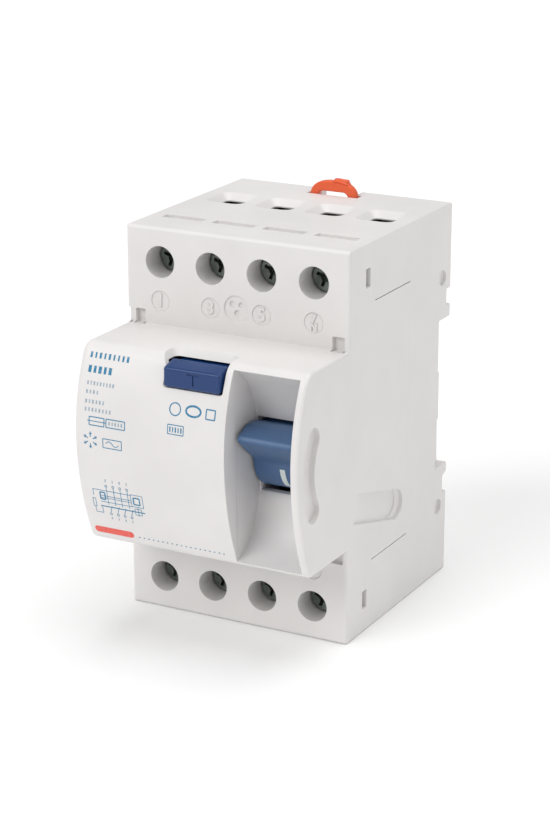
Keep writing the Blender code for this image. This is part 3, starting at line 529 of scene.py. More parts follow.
def nose_front(z):
    """Where the bowed front of the nose stands at a height."""
    above, radius = nose_bow(z)
    return FRONT + above ** 2 / (2 * radius)


def nose_outline(inset=0.0, back=-12.0, steps=40, top_round=0.3, bottom_round=0.3):
    """The bowed nose from the side, its upper and lower front edges rounded."""
    top, bottom = NOSE_TOP - inset, NOSE_BOTTOM + inset
    first, last = top - top_round, bottom + bottom_round
    def front(z, behind=0.0):
        return (nose_front(z) + inset + behind, z)

    points = [(back, top)]
    points += curve(front(top, top_round), front(top), front(first), 7)
    points += [front(first + (last - first) * step / steps) for step in range(1, steps)]
    points += curve(front(last), front(bottom), front(bottom, bottom_round), 5)
    return points + [(back, bottom)]


def body_outline():
    """Shoulders and back from the side, with the rail seat and its two latch notches."""
    notch, pad = BACK - 2.0, RAIL + 0.6
    return [
        (SHOULDER, 0.0), (SHOULDER, HEIGHT), (BACK, HEIGHT), (BACK, 68.3), (notch, 68.3), (notch, 64.6),
        (BACK, 64.6), (BACK, RAIL_TOP), (RAIL, RAIL_TOP), (RAIL, 49.7), (pad, 49.7), (pad, 38.3),
        (RAIL, 38.3), (RAIL, 28.0), (RAIL - 0.4, 28.0), (RAIL - 0.4, RAIL_BOTTOM), (BACK, RAIL_BOTTOM),
        (BACK, 24.1), (notch, 23.4), (notch, 19.4), (BACK, 19.4), (BACK, 0.0),
    ]


def cover_region(close, wide):
    """What belongs to the cover from the side, grown by the upright and the level seams' widths."""
    return [
        (FRONT - 5, HEIGHT + 5), (PARTING + close, HEIGHT + 5), (PARTING + close, TONGUE_TOP + wide),
        (TONGUE + close, TONGUE_TOP + wide), (TONGUE + close, TONGUE_BOTTOM - wide),
        (PARTING + close, TONGUE_BOTTOM - wide), (PARTING + close, -5), (FRONT - 5, -5),
    ]


def channel_outline():
    """The scoop round the lever: a hollow curve above the lever's slot and one below."""
    upper = curve((-32.4, CHANNEL_TOP), (-25.5, 61.5), (-23.2, 52.6))
    lower = curve((-22.4, 34.5), (-23.8, 25.6), (-32.0, CHANNEL_BOTTOM))
    return [(OUTSIDE, CHANNEL_TOP), *upper, (-21.6, 35.5), *lower, (OUTSIDE, CHANNEL_BOTTOM)]


def behind_channel_outline():
    """The room behind the channel's wall, where the drum and its shaft sit."""
    return [
        (-12.5, 64.8), (-25.0, 64.8), (-22.9, 60.0), (-21.7, 54.5), (-21.2, 52.6), (-20.0, 35.5),
        (-20.9, 33.8), (-22.6, 28.7), (-24.6, 25.0), (-24.6, 23.2), (-12.5, 23.2),
    ]


def kidney_outline(middle=14.6, half=2.6, reach=32.5, steps=14):
    """Curved slot with round ends about the lever's axis."""
    def about_pivot(radius, degrees):
        return spot(PIVOT, radius, math.radians(degrees))

    def end(first, degrees):
        centre = about_pivot(middle, degrees)
        return [spot(centre, half, math.radians(first + 180 * k / 8)) for k in range(1, 8)]

    sweep = [2 * reach * step / steps for step in range(steps + 1)]
    points = [about_pivot(middle + half, 180 - reach + turn) for turn in sweep]
    points += end(180 + reach, 180 + reach)
    points += [about_pivot(middle - half, 180 + reach - turn) for turn in sweep]
    return points + end(-reach, 180 - reach)


def groove_outline(half=3.4, reach=21.1):
    """Slanting groove with a round lower end."""
    slope = math.radians(-15.2)
    along, across = (math.cos(slope), math.sin(slope)), (-math.sin(slope), math.cos(slope))
    centre = (10.0, 24.7)
    points = [tuple(c - reach * a + sign * half * n for c, a, n in zip(centre, along, across))
              for sign in (1, -1)]
    return points + [spot(centre, half, slope - math.pi / 2 + math.pi * step / 12) for step in range(13)]


def envelope(name, sizes):
    """The whole outside as one solid, every large edge already rounded."""
    widest = sizes.nose_round / MM

    def body_weight(middle, direction):
        side = abs(abs(middle.x) - HALF_WIDTH) < 0.01
        front = abs(middle.y - SHOULDER) < 0.01
        ends = middle.z < 0.01 or middle.z > HEIGHT - 0.01
        if side and front:
            return 0.75 / widest
        if side:
            return (0.5 if middle.y < RAIL or ends else 0.3) / widest
        return (0.8 if front else 0.45 if ends else 0.25) / widest

    def nose_weight(middle, direction):
        if middle.y > -12.5 or abs(direction.x) > 0.1:
            return 0.0
        return (0.9 if middle.x > 0 else 1.5) / widest

    def profile(outline):
        return lambda mesh: extrude(mesh, outline, "X", -HALF_WIDTH, HALF_WIDTH)

    body = make_piece(name, profile(body_outline()), body_weight)
    nose = make_piece("nose", profile(nose_outline(top_round=widest, bottom_round=widest * 0.5)), nose_weight)
    soften(body, sizes.nose_round, 4, weighted=True)
    soften(nose, sizes.nose_round, 5, weighted=True)
    return combine(body, "UNION", nose, False)


def finish_moulding(obj, sizes):
    """Round the small edges of cover or base, but not the faces where the two meet."""
    tidy_faces(obj)
    weigh_creases(obj, stays_sharp)
    soften(obj, sizes.fine_round, 2, weighted=True)
    return smooth(obj)


# ---- cover and base --------------------------------------------------------------------
def build_cover(sizes):
    """Front half: nose, lever channel, screw holes and terminal numbers' discs."""
    wall = sizes.wall / MM
    inner = HALF_WIDTH - wall
    hole = sizes.hole_radius / MM
    cover = envelope("cover", sizes)

    def region(mesh):
        extrude(mesh, cover_region(0.0, 0.0), "X", -HALF_WIDTH - 5, HALF_WIDTH + 5)

    def hollow(mesh):
        block(mesh, (-inner, inner), (SHOULDER + wall, TONGUE + 4), (wall, HEIGHT - wall))
        extrude(mesh, nose_outline(wall, -12.4), "X", -inner, PARTITION)
        extrude(mesh, behind_channel_outline(), "X", *CHANNEL)

    def sleeves(mesh):
        for z in ROW_Z.values():
            for x in POLE_X:
                extrude(mesh, circle((x, z), 4.7), "Y", SHOULDER + wall / 2, -6.4)
        block(mesh, (-5.0, 6.0), (-17.0, -15.5), (58.5, NOSE_TOP - wall / 2))

    def holes(mesh):
        for z in ROW_Z.values():
            for x in POLE_X:
                extrude(mesh, circle((x, z), hole), "Y", SHOULDER - 1, -5.4)

    def channel(mesh):
        extrude(mesh, channel_outline(), "X", *CHANNEL)
        block(mesh, (CHANNEL[0] + 0.2, CHANNEL[1] - 0.2), (-24.0, -19.0), (35.5, 52.6))
        extrude(mesh, circle(PIVOT, SHAFT_RADIUS, 24), "X", PARTITION - 1, HALF_WIDTH - 0.6)

    def button_recess(mesh):
        left, right = -5.9, 8.2
        lower = round_box((left, right), (-41.3, -29.3), 0.5)
        upper = round_box((left - 1.9, right + 0.1), (-42.5, -26.5), 2.4)
        extrude(mesh, round_box((left, right), (59.9, 64.9), 0.6), "Y", OUTSIDE, -30.0)
        loft(mesh, [(lower, 64.0), (upper, NOSE_TOP + 0.25)])

    def pockets(mesh):
        for z in both_ends((NOSE_TOP - 0.2, NOSE_TOP + 3.0)):
            for x in ((23.1, 25.9), (-24.8, -22.5), (-HALF_WIDTH - 1, -25.75)):
                block(mesh, x, (SHOULDER - 1, SHOULDER + 1.25), z)

    def end_slots(mesh):
        for x in POLE_X:
            for z in both_ends((HEIGHT - 1.4, HEIGHT + 1)):
                block(mesh, (x - 4.9, x + 4.9), (-5.0, PARTING - 0.2), z)

    def side_features(mesh):
        for z in both_ends(SNAP_Z):
            for side in (-1, 1):
                block(mesh, beside(side, inner - 1, HALF_WIDTH + 1), SNAP_Y, z)
        extrude(mesh, kidney_outline(), "X", HALF_WIDTH - 1.3, HALF_WIDTH + 1)
        extrude(mesh, groove_outline(), "X", HALF_WIDTH - 0.75, HALF_WIDTH + 1)
        extrude(mesh, circle((7.6, 25.6), 3.3), "X", HALF_WIDTH - 1.15, HALF_WIDTH + 1)

    def cheek_slit(mesh):
        slit = [(-34.9, 43.2), (-34.3, 43.3), (-33.0, 39.4), (-33.5, 39.1)]
        extrude(mesh, slit, "X", CHANNEL[1] - 0.5, HALF_WIDTH + 1)

    def number_discs(mesh):
        for x in POLE_X:
            for z in NUMBER_Z:
                extrude(mesh, circle((x, z), 2.2), "Y", SHOULDER - 1, SHOULDER + 0.25)
        extrude(mesh, circle((0.1, 72.3), 2.95), "Y", SHOULDER - 1, SHOULDER + 0.40)

    def gate_marks(mesh):
        for x, z, radius in ((-1.0, 73.2, 0.7), (1.1, 73.2, 0.6), (0.2, 71.3, 0.7)):
            extrude(mesh, circle((x, z), radius, 24), "Y", SHOULDER - 1, SHOULDER + 0.85)

    carve(cover, "INTERSECT", region)
    carve(cover, "DIFFERENCE", hollow)
    carve(cover, "UNION", sleeves)
    carve(cover, "DIFFERENCE", holes, channel, button_recess, pockets, end_slots, side_features, cheek_slit,
          number_discs, gate_marks)
    return finish_moulding(cover, sizes)


def funnel(mesh, x, outside, inward):
    """Lead-in round one wire entry: a flared mouth over a straight throat."""
    wide = round_box((x - 4.65, x + 4.65), (12.9, 23.1), 2.2)
    throat = round_box((x - 2.9, x + 2.9), (14.9, 21.1), 1.0)
    levels = [(wide, outside - inward * 0.4), (wide, outside), (throat, outside + inward * 1.5),
              (throat, outside + inward * 4.5)]
    loft(mesh, levels if inward > 0 else list(reversed(levels)))


def build_base(sizes):
    """Rear half: terminal chambers, wire entries, rail seat and the clip's groove."""
    wall = sizes.wall / MM
    inner = HALF_WIDTH - wall
    inner_back = RAIL - 2.4
    seam = sizes.seam / MM
    base = envelope("base", sizes)

    def region(mesh):
        extrude(mesh, cover_region(0.02, seam), "X", -HALF_WIDTH - 5, HALF_WIDTH + 5)

    def hollow(mesh):
        block(mesh, (-inner, inner), (PARTING - 4, inner_back), (wall, HEIGHT - wall))
        rear = (inner_back - 2, BACK - 3.6)
        for side in (-1, 1):
            block(mesh, beside(side, 8.2, inner), rear, (RAIL_TOP + wall, HEIGHT - wall))
        block(mesh, (-inner, inner), rear, (wall, RAIL_BOTTOM - wall))

    def ribs(mesh):
        for upper in (True, False):
            chamber = (69.0, HEIGHT - wall / 2) if upper else (wall / 2, 19.0)
            for first, second in zip(POLE_X, POLE_X[1:]):
                x = (first + second) / 2
                block(mesh, (x - 0.6, x + 0.6), (-1.9, inner_back + wall / 2), chamber)
            shelf = (TONGUE_TOP + 0.3, HEIGHT - wall / 2) if upper else (wall / 2, 13.0)
            block(mesh, (-inner - wall / 2, inner + wall / 2), (-1.9, -0.3), shelf)

    def tongues(mesh):
        for snap in both_ends(SNAP_Z):
            tongue = (snap[0] + 0.3, snap[1] - 0.3)
            for side in (-1, 1):
                block(mesh, beside(side, 23.7, inner - 0.3), (-8.0, -1.1), tongue)
                block(mesh, beside(side, 23.7, inner + wall / 2), (-1.9, 1.0), tongue)
                block(mesh, beside(side, 24.0, HALF_WIDTH - 0.8), (-6.3, -4.8), tongue)

    def passages(mesh):
        for row, z in ROW_Z.items():
            for x in POLE_X:
                extrude(mesh, circle((x, z), 2.4, 24), "Y", -2.9, 0.7)
                funnel(mesh, x, HEIGHT if row == "line" else 0.0, -1 if row == "line" else 1)

    def hooks(mesh):
        for side in (-1, 1):
            block(mesh, beside(side, 6.0, 14.0), (RAIL + 1.3, BACK - 1.0),
                  (RAIL_BOTTOM - wall / 2, RAIL_BOTTOM + 1.2))

    def clip_groove(mesh):
        block(mesh, (-6.3, 6.3), (30.9, 33.5), (RAIL_TOP - 1, HEIGHT + 1))
        block(mesh, (-4.6, 4.6), (33.0, BACK + 1), (RAIL_TOP - 1, HEIGHT + 1))

    def post(mesh):
        block(mesh, (-2.2, 2.2), (30.2, 34.5), (78.3, 80.3))

    def dimples(mesh):
        for z in (71.4, HEIGHT - 71.4):
            for side in (-1, 1):
                ends = beside(side, HALF_WIDTH - 0.8, HALF_WIDTH + 1)
                extrude(mesh, circle((33.1, z), 1.8, 32), "X", *ends)

    carve(base, "DIFFERENCE", region, hollow)
    carve(base, "UNION", ribs, tongues)
    carve(base, "DIFFERENCE", passages)
    carve(base, "UNION", hooks)
    carve(base, "DIFFERENCE", clip_groove)
    carve(base, "UNION", post)
    carve(base, "DIFFERENCE", dimples)
    return finish_moulding(base, sizes)


class BuildHousing(bpy.types.Operator):
    """Cover and base with their holes, funnels, notches and rail seat"""
    bl_idname = "device.build_housing"
    bl_label = "Housing"

    def execute(self, context):
        sizes = context.scene.device_housing
        plastic = moulded_plastic("housing plastic", tuple(sizes.tint), 0.42)
        for build, node in ((build_cover, "front_cover"), (build_base, "rear_base")):
            hand_over(build(sizes), plastic, "housing", "housing", node)
        return {"FINISHED"}


# ---- lever -----------------------------------------------------------------------------
def build_lever(sizes):
    """Drum on the shaft with the handle on it, hollowed behind for the spring and the link."""
    left, right = 10.3, 24.7
    radius = sizes.drum_radius / MM
    paddle = [(-23.6, 51.9), (-26.6, 52.5), (-28.9, 52.4), (-33.2, 51.2), (-33.7, 50.4), (-33.2, 49.6),
              (-29.6, 46.7), (-26.6, 44.7), (-25.75, 43.4)]

    def whole(mesh):
        extrude(mesh, circle(PIVOT, radius, 72), "X", left, right)

    def wedge(mesh):
        extrude(mesh, paddle + [(-18.0, 43.0), (-18.0, 48.0)], "X", left, right)

    def relief(mesh):
        for x in ((12.0, 16.2), (18.6, 23.0)):
            block(mesh, x, (-16.0, 0.0), (34.0, 54.0))
        extrude(mesh, circle(PIVOT, 3.7, 32), "X", 11.8, 14.9)
        extrude(mesh, circle(PIVOT, SHAFT_RADIUS, 24), "X", left - 1, right + 1)
        extrude(mesh, circle(spot(PIVOT, 5.8, math.radians(40)), 0.95, 24), "X", 15.0, 20.0)

    def corner(mesh):
        """The free corner of the paddle is cut back, so it clears the channel's rim."""
        extrude(mesh, [(left - 1, -35.0), (left + 0.6, -35.0), (left + 0.4, -32.0), (left - 0.02, -28.6),
                       (left - 1, -28.6)], "Z", 44.0, 56.0)

    lever = make_piece("lever", whole)
    carve(lever, "UNION", wedge)
    carve(lever, "DIFFERENCE", relief, corner)
    tidy_faces(lever)
    soften(lever, sizes.rounding, 3, 28.0)
    return smooth(lever)


def build_lever_mark(sizes, steps=16):
    """The bar for on, printed round a part of the drum."""
    outside = sizes.drum_radius / MM + 0.03
    section = [(outside - 0.4, 16.55), (outside, 16.55), (outside, 17.75), (outside - 0.4, 17.75)]

    def bar(mesh):
        rings = []
        for step in range(steps + 1):
            turn = math.radians(192 + 40 * (step / steps))
            corners = [Vector((x, *spot(PIVOT, reach, turn))) * MM for reach, x in section]
            rings.append([mesh.verts.new(corner) for corner in corners])
        close_rings(mesh, rings)

    return smooth(make_piece("lever_mark_on", bar))


class BuildLever(bpy.types.Operator):
    """Toggle lever with its printed mark"""
    bl_idname = "device.build_lever"
    bl_label = "Lever"

    def execute(self, context):
        sizes = context.scene.device_lever
        plastic = moulded_plastic("lever plastic", tuple(sizes.tint), 0.40, 0.000005, 0.05)
        hand_over(build_lever(sizes), plastic, "lever", "lever_blue", "toggle_lever")
        mark = printed_ink("mark ink", tuple(sizes.mark))
        hand_over(build_lever_mark(sizes), mark, "lever", "lever_blue")
        return {"FINISHED"}


# ---- test button -----------------------------------------------------------------------
def build_button(sizes):
    """Wedge-topped cap with its letter, on a stem to the test blade."""
    left, right = -5.6, 7.8
    outline = [(-35.7, 60.2), (-35.6, 64.4), (-31.5, 65.4), (-31.5, 64.3), (-25.0, 64.3), (-25.0, 60.2)]

    def cap(mesh):
        extrude(mesh, outline, "X", left, right)

    def stem(mesh):
        block(mesh, (0.6, 2.2), (-26.0, -22.0), (60.8, 63.0))

    def letter(mesh):
        """A T cut into the face."""
        block(mesh, (0.2, 2.9), (-36.5, -35.45), (63.35, 63.7))
        block(mesh, (1.4, 1.75), (-36.5, -35.45), (61.2, 63.6))

    button = make_piece("button", cap)
    soften(button, sizes.rounding, 3, 30.0)
    carve(button, "UNION", stem)
    carve(button, "DIFFERENCE", letter)
    return smooth(button)


class BuildButton(bpy.types.Operator):
    """Test button with its letter"""
    bl_idname = "device.build_button"
    bl_label = "Test button"

    def execute(self, context):
        sizes = context.scene.device_button
        plastic = moulded_plastic("button plastic", tuple(sizes.tint), 0.30, 0.000004, 0.05)
        hand_over(build_button(sizes), plastic, "button", "button_blue", "test_button")
        return {"FINISHED"}


# ---- geometry node trees ---------------------------------------------------------------
class Recipe:
    """A geometry node tree with named inputs, built node by node."""

    def __init__(self, name, inputs):
        """Inputs give each socket's default, and its type with it; a place and a material come last."""
        self.tree = bpy.data.node_groups.new(name, "GeometryNodeTree")
        self.keys = {}
        kinds = {float: "NodeSocketFloat", int: "NodeSocketInt", tuple: "NodeSocketVector"}
        for label, default in {**inputs, "Place": (0.0, 0.0, 0.0), "Material": None}.items():
            kind = kinds.get(type(default), "NodeSocketMaterial")
            socket = self.tree.interface.new_socket(label, in_out="INPUT", socket_type=kind)
            if default is not None:
                socket.default_value = default
            self.keys[label] = socket.identifier
        self.tree.interface.new_socket("Geometry", in_out="OUTPUT", socket_type="NodeSocketGeometry")
        self.source = self.tree.nodes.new("NodeGroupInput")
        self.sink = self.tree.nodes.new("NodeGroupOutput")

    def given(self, label):
        return self.source.outputs[label]

    def all_given(self, **names):
        """Values for a node's sockets, each taken from the input of the given name."""
        return {socket.replace("_", " "): self.given(label) for socket, label in names.items()}

    def add(self, kind, settings=None, values=None, output=0):
        node = self.tree.nodes.new(kind)
        for key, value in (settings or {}).items():
            setattr(node, key, value)
        for key, value in (values or {}).items():
            for item in value if isinstance(value, list) else [value]:
                if isinstance(item, bpy.types.NodeSocket):
                    self.tree.links.new(item, node.inputs[key])
                else:
                    node.inputs[key].default_value = item
        return node.outputs[output]

    def vector(self, x=0.0, y=0.0, z=0.0):
        return self.add("ShaderNodeCombineXYZ", None, {0: x, 1: y, 2: z})

    def math(self, operation, first, second):
        return self.add("ShaderNodeMath", {"operation": operation}, {0: first, 1: second})

    def finish(self, geometry):
        """End in real faces that carry the given material."""
        real = self.add("GeometryNodeRealizeInstances", None, {0: geometry})
        painted = self.add("GeometryNodeSetMaterial", None, {0: real, "Material": self.given("Material")})
        self.tree.links.new(painted, self.sink.inputs[0])
        return self

    def grow(self, name, material, **values):
        """Make a plain mesh object from the tree with these inputs."""
        obj = bpy.data.objects.new(name, bpy.data.meshes.new(name))
        modifier = obj.modifiers.new("recipe", "NODES")
        modifier.node_group = self.tree
        modifier[self.keys["Material"]] = material
        for label, value in values.items():
            modifier[self.keys[label.replace("_", " ")]] = value
        bpy.context.scene.collection.objects.link(obj)
        return settle(obj)


def screw_recipe():
    """Cheese-head screw with a cross slot, along +Y from its head's face."""
    recipe = Recipe("terminal screw", {
        "Head Radius": 0.0031, "Head Height": 0.0028, "Slot Width": 0.0008, "Shank Radius": 0.0019})
    radius, height = recipe.given("Head Radius"), recipe.given("Head Height")
    edge = 0.0004

    def placed(geometry, degrees=0.0, turn_y=0.0, **spots):
        return recipe.add("GeometryNodeTransform", None, {
            0: geometry, "Rotation": (math.radians(degrees), math.radians(turn_y), 0.0), **spots})

    def post(width, depth, centre):
        drum = recipe.add("GeometryNodeMeshCylinder", None, {"Vertices": 40, "Radius": width, "Depth": depth})
        return placed(drum, -90, Translation=recipe.vector(0.0, centre, 0.0))

    cone = recipe.add("GeometryNodeMeshCone", None, {
        "Vertices": 40, "Radius Top": recipe.math("SUBTRACT", radius, edge), "Radius Bottom": radius,
        "Depth": edge})
    chamfer = placed(cone, 90, Translation=(0.0, edge, 0.0))
    skirt = post(radius, recipe.math("SUBTRACT", height, edge),
                 recipe.math("ADD", recipe.math("MULTIPLY", height, 0.5), edge / 2))
    shank = post(recipe.given("Shank Radius"), 0.0190, 0.0116)
    blade = recipe.add("GeometryNodeMeshCube", None, {
        "Size": recipe.vector(0.0044, 0.0030, recipe.given("Slot Width"))})
    pit = post(0.0011, 0.0040, 0.0)
    solid = recipe.add("GeometryNodeMeshBoolean", {"operation": "UNION", "solver": "EXACT"},
                       {"Mesh 2": [chamfer, skirt, shank]})
    cut = recipe.add("GeometryNodeMeshBoolean", {"operation": "DIFFERENCE", "solver": "EXACT"},
                     {"Mesh 1": solid, "Mesh 2": [placed(blade, turn_y=20), placed(blade, turn_y=110), pit]})
    return recipe.finish(placed(cut, Translation=recipe.given("Place")))


def coil_recipe():
    """A wire coil along Z, turned and put in its place."""
    recipe = Recipe("coil spring", {
        "Radius": 0.0015, "Wire": 0.00025, "Length": 0.008, "Turns": 6.0, "Turn": (0.0, 0.0, 0.0)})
    spiral = recipe.add("GeometryNodeCurveSpiral", None, {"Resolution": 24, **recipe.all_given(
        Rotations="Turns", Start_Radius="Radius", End_Radius="Radius", Height="Length")})
    ring = recipe.add("GeometryNodeCurvePrimitiveCircle", None, {
        "Resolution": 10, "Radius": recipe.given("Wire")})
    wire = recipe.add("GeometryNodeCurveToMesh", None, {
        "Curve": spiral, "Profile Curve": ring, "Fill Caps": True})
    return recipe.finish(recipe.add("GeometryNodeTransform", None, {
        0: wire, **recipe.all_given(Rotation="Turn", Translation="Place")}))


def row_recipe():
    """A row of small flat marks with even steps and uneven lengths, tilted to lie on the label."""
    recipe = Recipe("printed row", {
        "Count": 8, "Step": 0.001, "Length": 0.0006, "Height": 0.001, "Ink": 0.00003, "Uneven": 0.3,
        "Seed": 1, "Tilt": 0.0})
    line = recipe.add("GeometryNodeMeshLine", None, {
        "Count": recipe.given("Count"), "Offset": recipe.vector(recipe.given("Step"))})
    size = recipe.vector(recipe.given("Length"), recipe.given("Ink"), recipe.given("Height"))
    mark = recipe.add("GeometryNodeMeshCube", None, {"Size": size})
    spread = recipe.add("FunctionNodeRandomValue", {"data_type": "FLOAT"}, {
        2: recipe.math("SUBTRACT", 1.0, recipe.given("Uneven")), 3: 1.0, "Seed": recipe.given("Seed")}, 1)
    copies = recipe.add("GeometryNodeInstanceOnPoints", None, {
        "Points": line, "Instance": mark, "Scale": recipe.vector(spread, 1.0, 1.0)})
    return recipe.finish(recipe.add("GeometryNodeTransform", None, {
        0: copies, "Rotation": recipe.vector(recipe.given("Tilt")), "Translation": recipe.given("Place")}))


# ---- terminals -------------------------------------------------------------------------
class BuildTerminals(bpy.types.Operator):
    """Terminal screws, clamps and the raised numbers beside them"""
    bl_idname = "device.build_terminals"
    bl_label = "Terminals"

    def execute(self, context):
        sizes = context.scene.device_terminals
        steel = worked_metal("screw steel", tuple(sizes.metal), 0.42)
        zinc = worked_metal("clamp plating", (0.50, 0.52, 0.52), 0.36, (1.0, 1.0, 8.0))
        recipe = screw_recipe()
        number = 0
        for z in ROW_Z.values():
            for x in POLE_X:
                number += 1
                screw = recipe.grow(
                    f"screw_{number}", steel, Head_Radius=sizes.head_radius, Head_Height=sizes.head_height,
                    Slot_Width=sizes.slot_width, Place=(x * MM, SCREW_FACE * MM, z * MM))
                screw.data.shade_smooth()
                screw.data.set_sharp_from_angle(angle=math.radians(35))
                hand_over(screw, None, f"screw_{number}", "screw_steel", f"terminal_screw_{number}")
                paint(bpy.data.objects[f"terminal_clamp_{number}"], zinc)
        plastic = bpy.data.materials["housing plastic"]
        for label, x, z, height in numerals(sizes.numeral / MM):
            piece = raised_text(f"number_{label}_{int(x + 30)}", label, x, z, height)
            hand_over(piece, plastic, "housing", "housing")
        return {"FINISHED"}


FONT_PER_FIGURE = 1.38  # size of the font for a figure one unit high


def numerals(height):
    """Label, middle and size of each raised number."""
    upper, lower = NUMBER_Z
    marks = [(label, x, upper, height) for label, x in zip("135", POLE_X)]
    marks += [(label, POLE_X[3], z, height * 0.55) for label, z in (("7", 72.6), ("N", 70.85))]
    return marks + [(label, x, lower, height) for label, x in zip("2468", POLE_X)]


def raised_text(name, label, x, z, height):
    """A number standing on its disc."""
    data = bpy.data.curves.new(name, "FONT")
    data.body = label
    data.align_x = data.align_y = "CENTER"
    data.size = height * FONT_PER_FIGURE * MM
    data.extrude, data.bevel_depth, data.offset = 0.00016, 0.00004, 0.00005
    data.resolution_u = 6
    flat = add_object(name, data)
    mesh = evaluated_mesh(flat)
    bpy.data.objects.remove(flat, do_unlink=True)
    upright = Matrix.Rotation(math.radians(90), 4, "X")
    mesh.transform(Matrix.Translation(Vector((x, SHOULDER + 0.10, z)) * MM) @ upright)
    return add_object(name, mesh)


# ---- rail clip -------------------------------------------------------------------------
def build_clip(sizes):
    """Flat slide with a round pull, a window for its spring and a nib that holds the rail."""
    back, half = 33.2, 5.9
    foot, shoulder, arch = 62.0, 86.0, 5.2
    outline = [(half, foot), (half, shoulder)]
    for step in range(1, 24):
        turn = math.pi * step / 24
        reach = math.copysign(abs(math.cos(turn)) ** 0.8, math.cos(turn))
        outline.append((half * reach, shoulder + arch * math.sin(turn) ** 0.62))
    outline += [(-half, shoulder), (-half, foot)]

    def plate(mesh):
        extrude(mesh, outline, "Y", 31.2, back)

    def nib(mesh):
        block(mesh, (-4.3, 4.3), (RAIL + 1.3, BACK - 1.0), (59.6, 64.0))

    def boss(mesh):
        block(mesh, (0.2, 3.6), (31.4, back - 0.2), (90.0, 91.65))

    def windows(mesh):
        extrude(mesh, round_box((-3.7, 3.7), (84.4, 88.7), 1.2), "Y", 30.0, back + 1)
        block(mesh, (-2.6, 2.6), (30.2, back + 0.5), (68.0, 82.6))

    clip = make_piece("clip", plate)
    carve(clip, "UNION", nib, boss)
    carve(clip, "DIFFERENCE", windows)
    tidy_faces(clip)
    soften(clip, sizes.rounding, 3, 40.0)
    return smooth(clip)


class BuildClip(bpy.types.Operator):
    """Rail clip and the springs of the device"""
    bl_idname = "device.build_clip"
    bl_label = "Rail clip"

    def execute(self, context):
        sizes = context.scene.device_clip
        plastic = moulded_plastic("clip plastic", tuple(sizes.tint), 0.36, 0.000004, 0.05)
        hand_over(build_clip(sizes), plastic, "clip", "clip_orange", "rail_clip")
        wire = worked_metal("spring wire", (0.46, 0.46, 0.47), 0.3)
        recipe = coil_recipe()
        along_y = (-90, 0, 0)
        coils = [
            ("clip_spring", "rail_clip_spring", "housing", (0.0, 33.0, 68.8), (0, 0, 0),
             (1.4, 0.3, 8.8), float(sizes.coils)),
            ("press_spring", "button_spring", "housing", (-2.5, -24.4, 61.8), along_y, (1.3, 0.25, 6.8), 6.0),
            ("return_spring", "lever_spring", "housing", (12.5, *PIVOT), (0, 90, 0), (2.8, 0.4, 1.5), 1.6),
        ]
        for index, x in enumerate(POLE_X, 1):
            coils.append((f"pressure_spring_{index}", f"contact_spring_{index}", "carrier",
                          (x, 6.6, 49.5), along_y, (1.5, 0.25, 2.8), 4.0))
        for name, node, body, place, turn, (radius, thick, tall), turns in coils:
            piece = recipe.grow(
                name, wire, Radius=radius * MM, Wire=thick * MM, Length=tall * MM, Turns=turns,
                Place=tuple(Vector(place) * MM), Turn=tuple(math.radians(angle) for angle in turn))
            piece.data.shade_smooth()
            hand_over(piece, None, body, "steel", node)
        objects = bpy.data.objects
        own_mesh(objects["clip_spring"])
        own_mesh(objects["press_spring"])
        return {"FINISHED"}


# ---- inner parts -----------------------------------------------------------------------
class BuildInside(bpy.types.Operator):
    """Finishes of the parts inside the housing"""
    bl_idname = "device.build_inside"
    bl_label = "Inside"

    def execute(self, context):
        finishes = {
            "steel": worked_metal("bright steel", (0.60, 0.60, 0.61), 0.28),
            "copper": worked_metal("strip copper", (0.72, 0.36, 0.22), 0.34, (1.0, 1.0, 6.0)),
            "brass": worked_metal("blade brass", (0.72, 0.54, 0.24), 0.34),
            "dark_plastic": moulded_plastic("dark plastic", (0.06, 0.06, 0.065), 0.5),
            "lead": moulded_plastic("lead enamel", (0.30, 0.09, 0.04), 0.3),
            "core": moulded_plastic("core case", (0.05, 0.12, 0.07), 0.5),
            "winding": moulded_plastic("winding enamel", (0.45, 0.16, 0.07), 0.35),
            "relay": moulded_plastic("relay case", (0.05, 0.05, 0.055), 0.45),
            "resistor": moulded_plastic("resistor paint", (0.30, 0.22, 0.14), 0.55),
            "zinc": bpy.data.materials["clamp plating"],
            "screw_steel": bpy.data.materials["screw steel"],
        }
        for part in frame["record"]["subparts"]:
            obj = bpy.data.objects.get(part["node"])
            if obj and not obj.hide_render and part["material_slot"] in finishes:
                paint(obj, finishes[part["material_slot"]])
        return {"FINISHED"}


# ---- printing --------------------------------------------------------------------------
SUNK = 0.05  # how deep the printing's underside lies in the plastic


def label_spot(x, z, lift):
    """A point on the bowed label, lifted off it by the ink."""
    return Vector((x, nose_front(z) - lift, z)) * MM


class Pen:
    """Draws printed lines on the bowed label into one mesh."""

    def __init__(self, mesh, lift):
        self.mesh = mesh
        self.lift = lift

    def stroke(self, start, end, width):
        """One straight line, in steps short enough to follow the bow."""
        reach = Vector((end[0] - start[0], end[1] - start[1]))
        count = max(1, int(abs(reach.y) / 0.8))
        normal = Vector((-reach.y, reach.x)).normalized() * width / 2
        rings = []
        for step in range(count + 1):
            middle = Vector(start) + reach * step / count
            ring = []
            for sign, raised in ((1, self.lift), (-1, self.lift), (-1, -SUNK), (1, -SUNK)):
                ring.append(self.mesh.verts.new(label_spot(*(middle + normal * sign), raised)))
            rings.append(ring)
        close_rings(self.mesh, rings)

    def path(self, points, width):
        for start, end in zip(points, points[1:]):
            self.stroke(start, end, width)

    def closed(self, points, width):
        self.path([*points, points[0]], width)

    def box(self, x, z, width):
        self.closed([(x[0], z[0]), (x[1], z[0]), (x[1], z[1]), (x[0], z[1])], width)

    def ring(self, centre, radius, width, squeeze=1.0, sides=24):
        turns = [2 * math.pi * k / sides for k in range(sides)]
        self.closed([(centre[0] + radius * math.cos(turn), centre[1] + radius * squeeze * math.sin(turn))
                     for turn in turns], width)


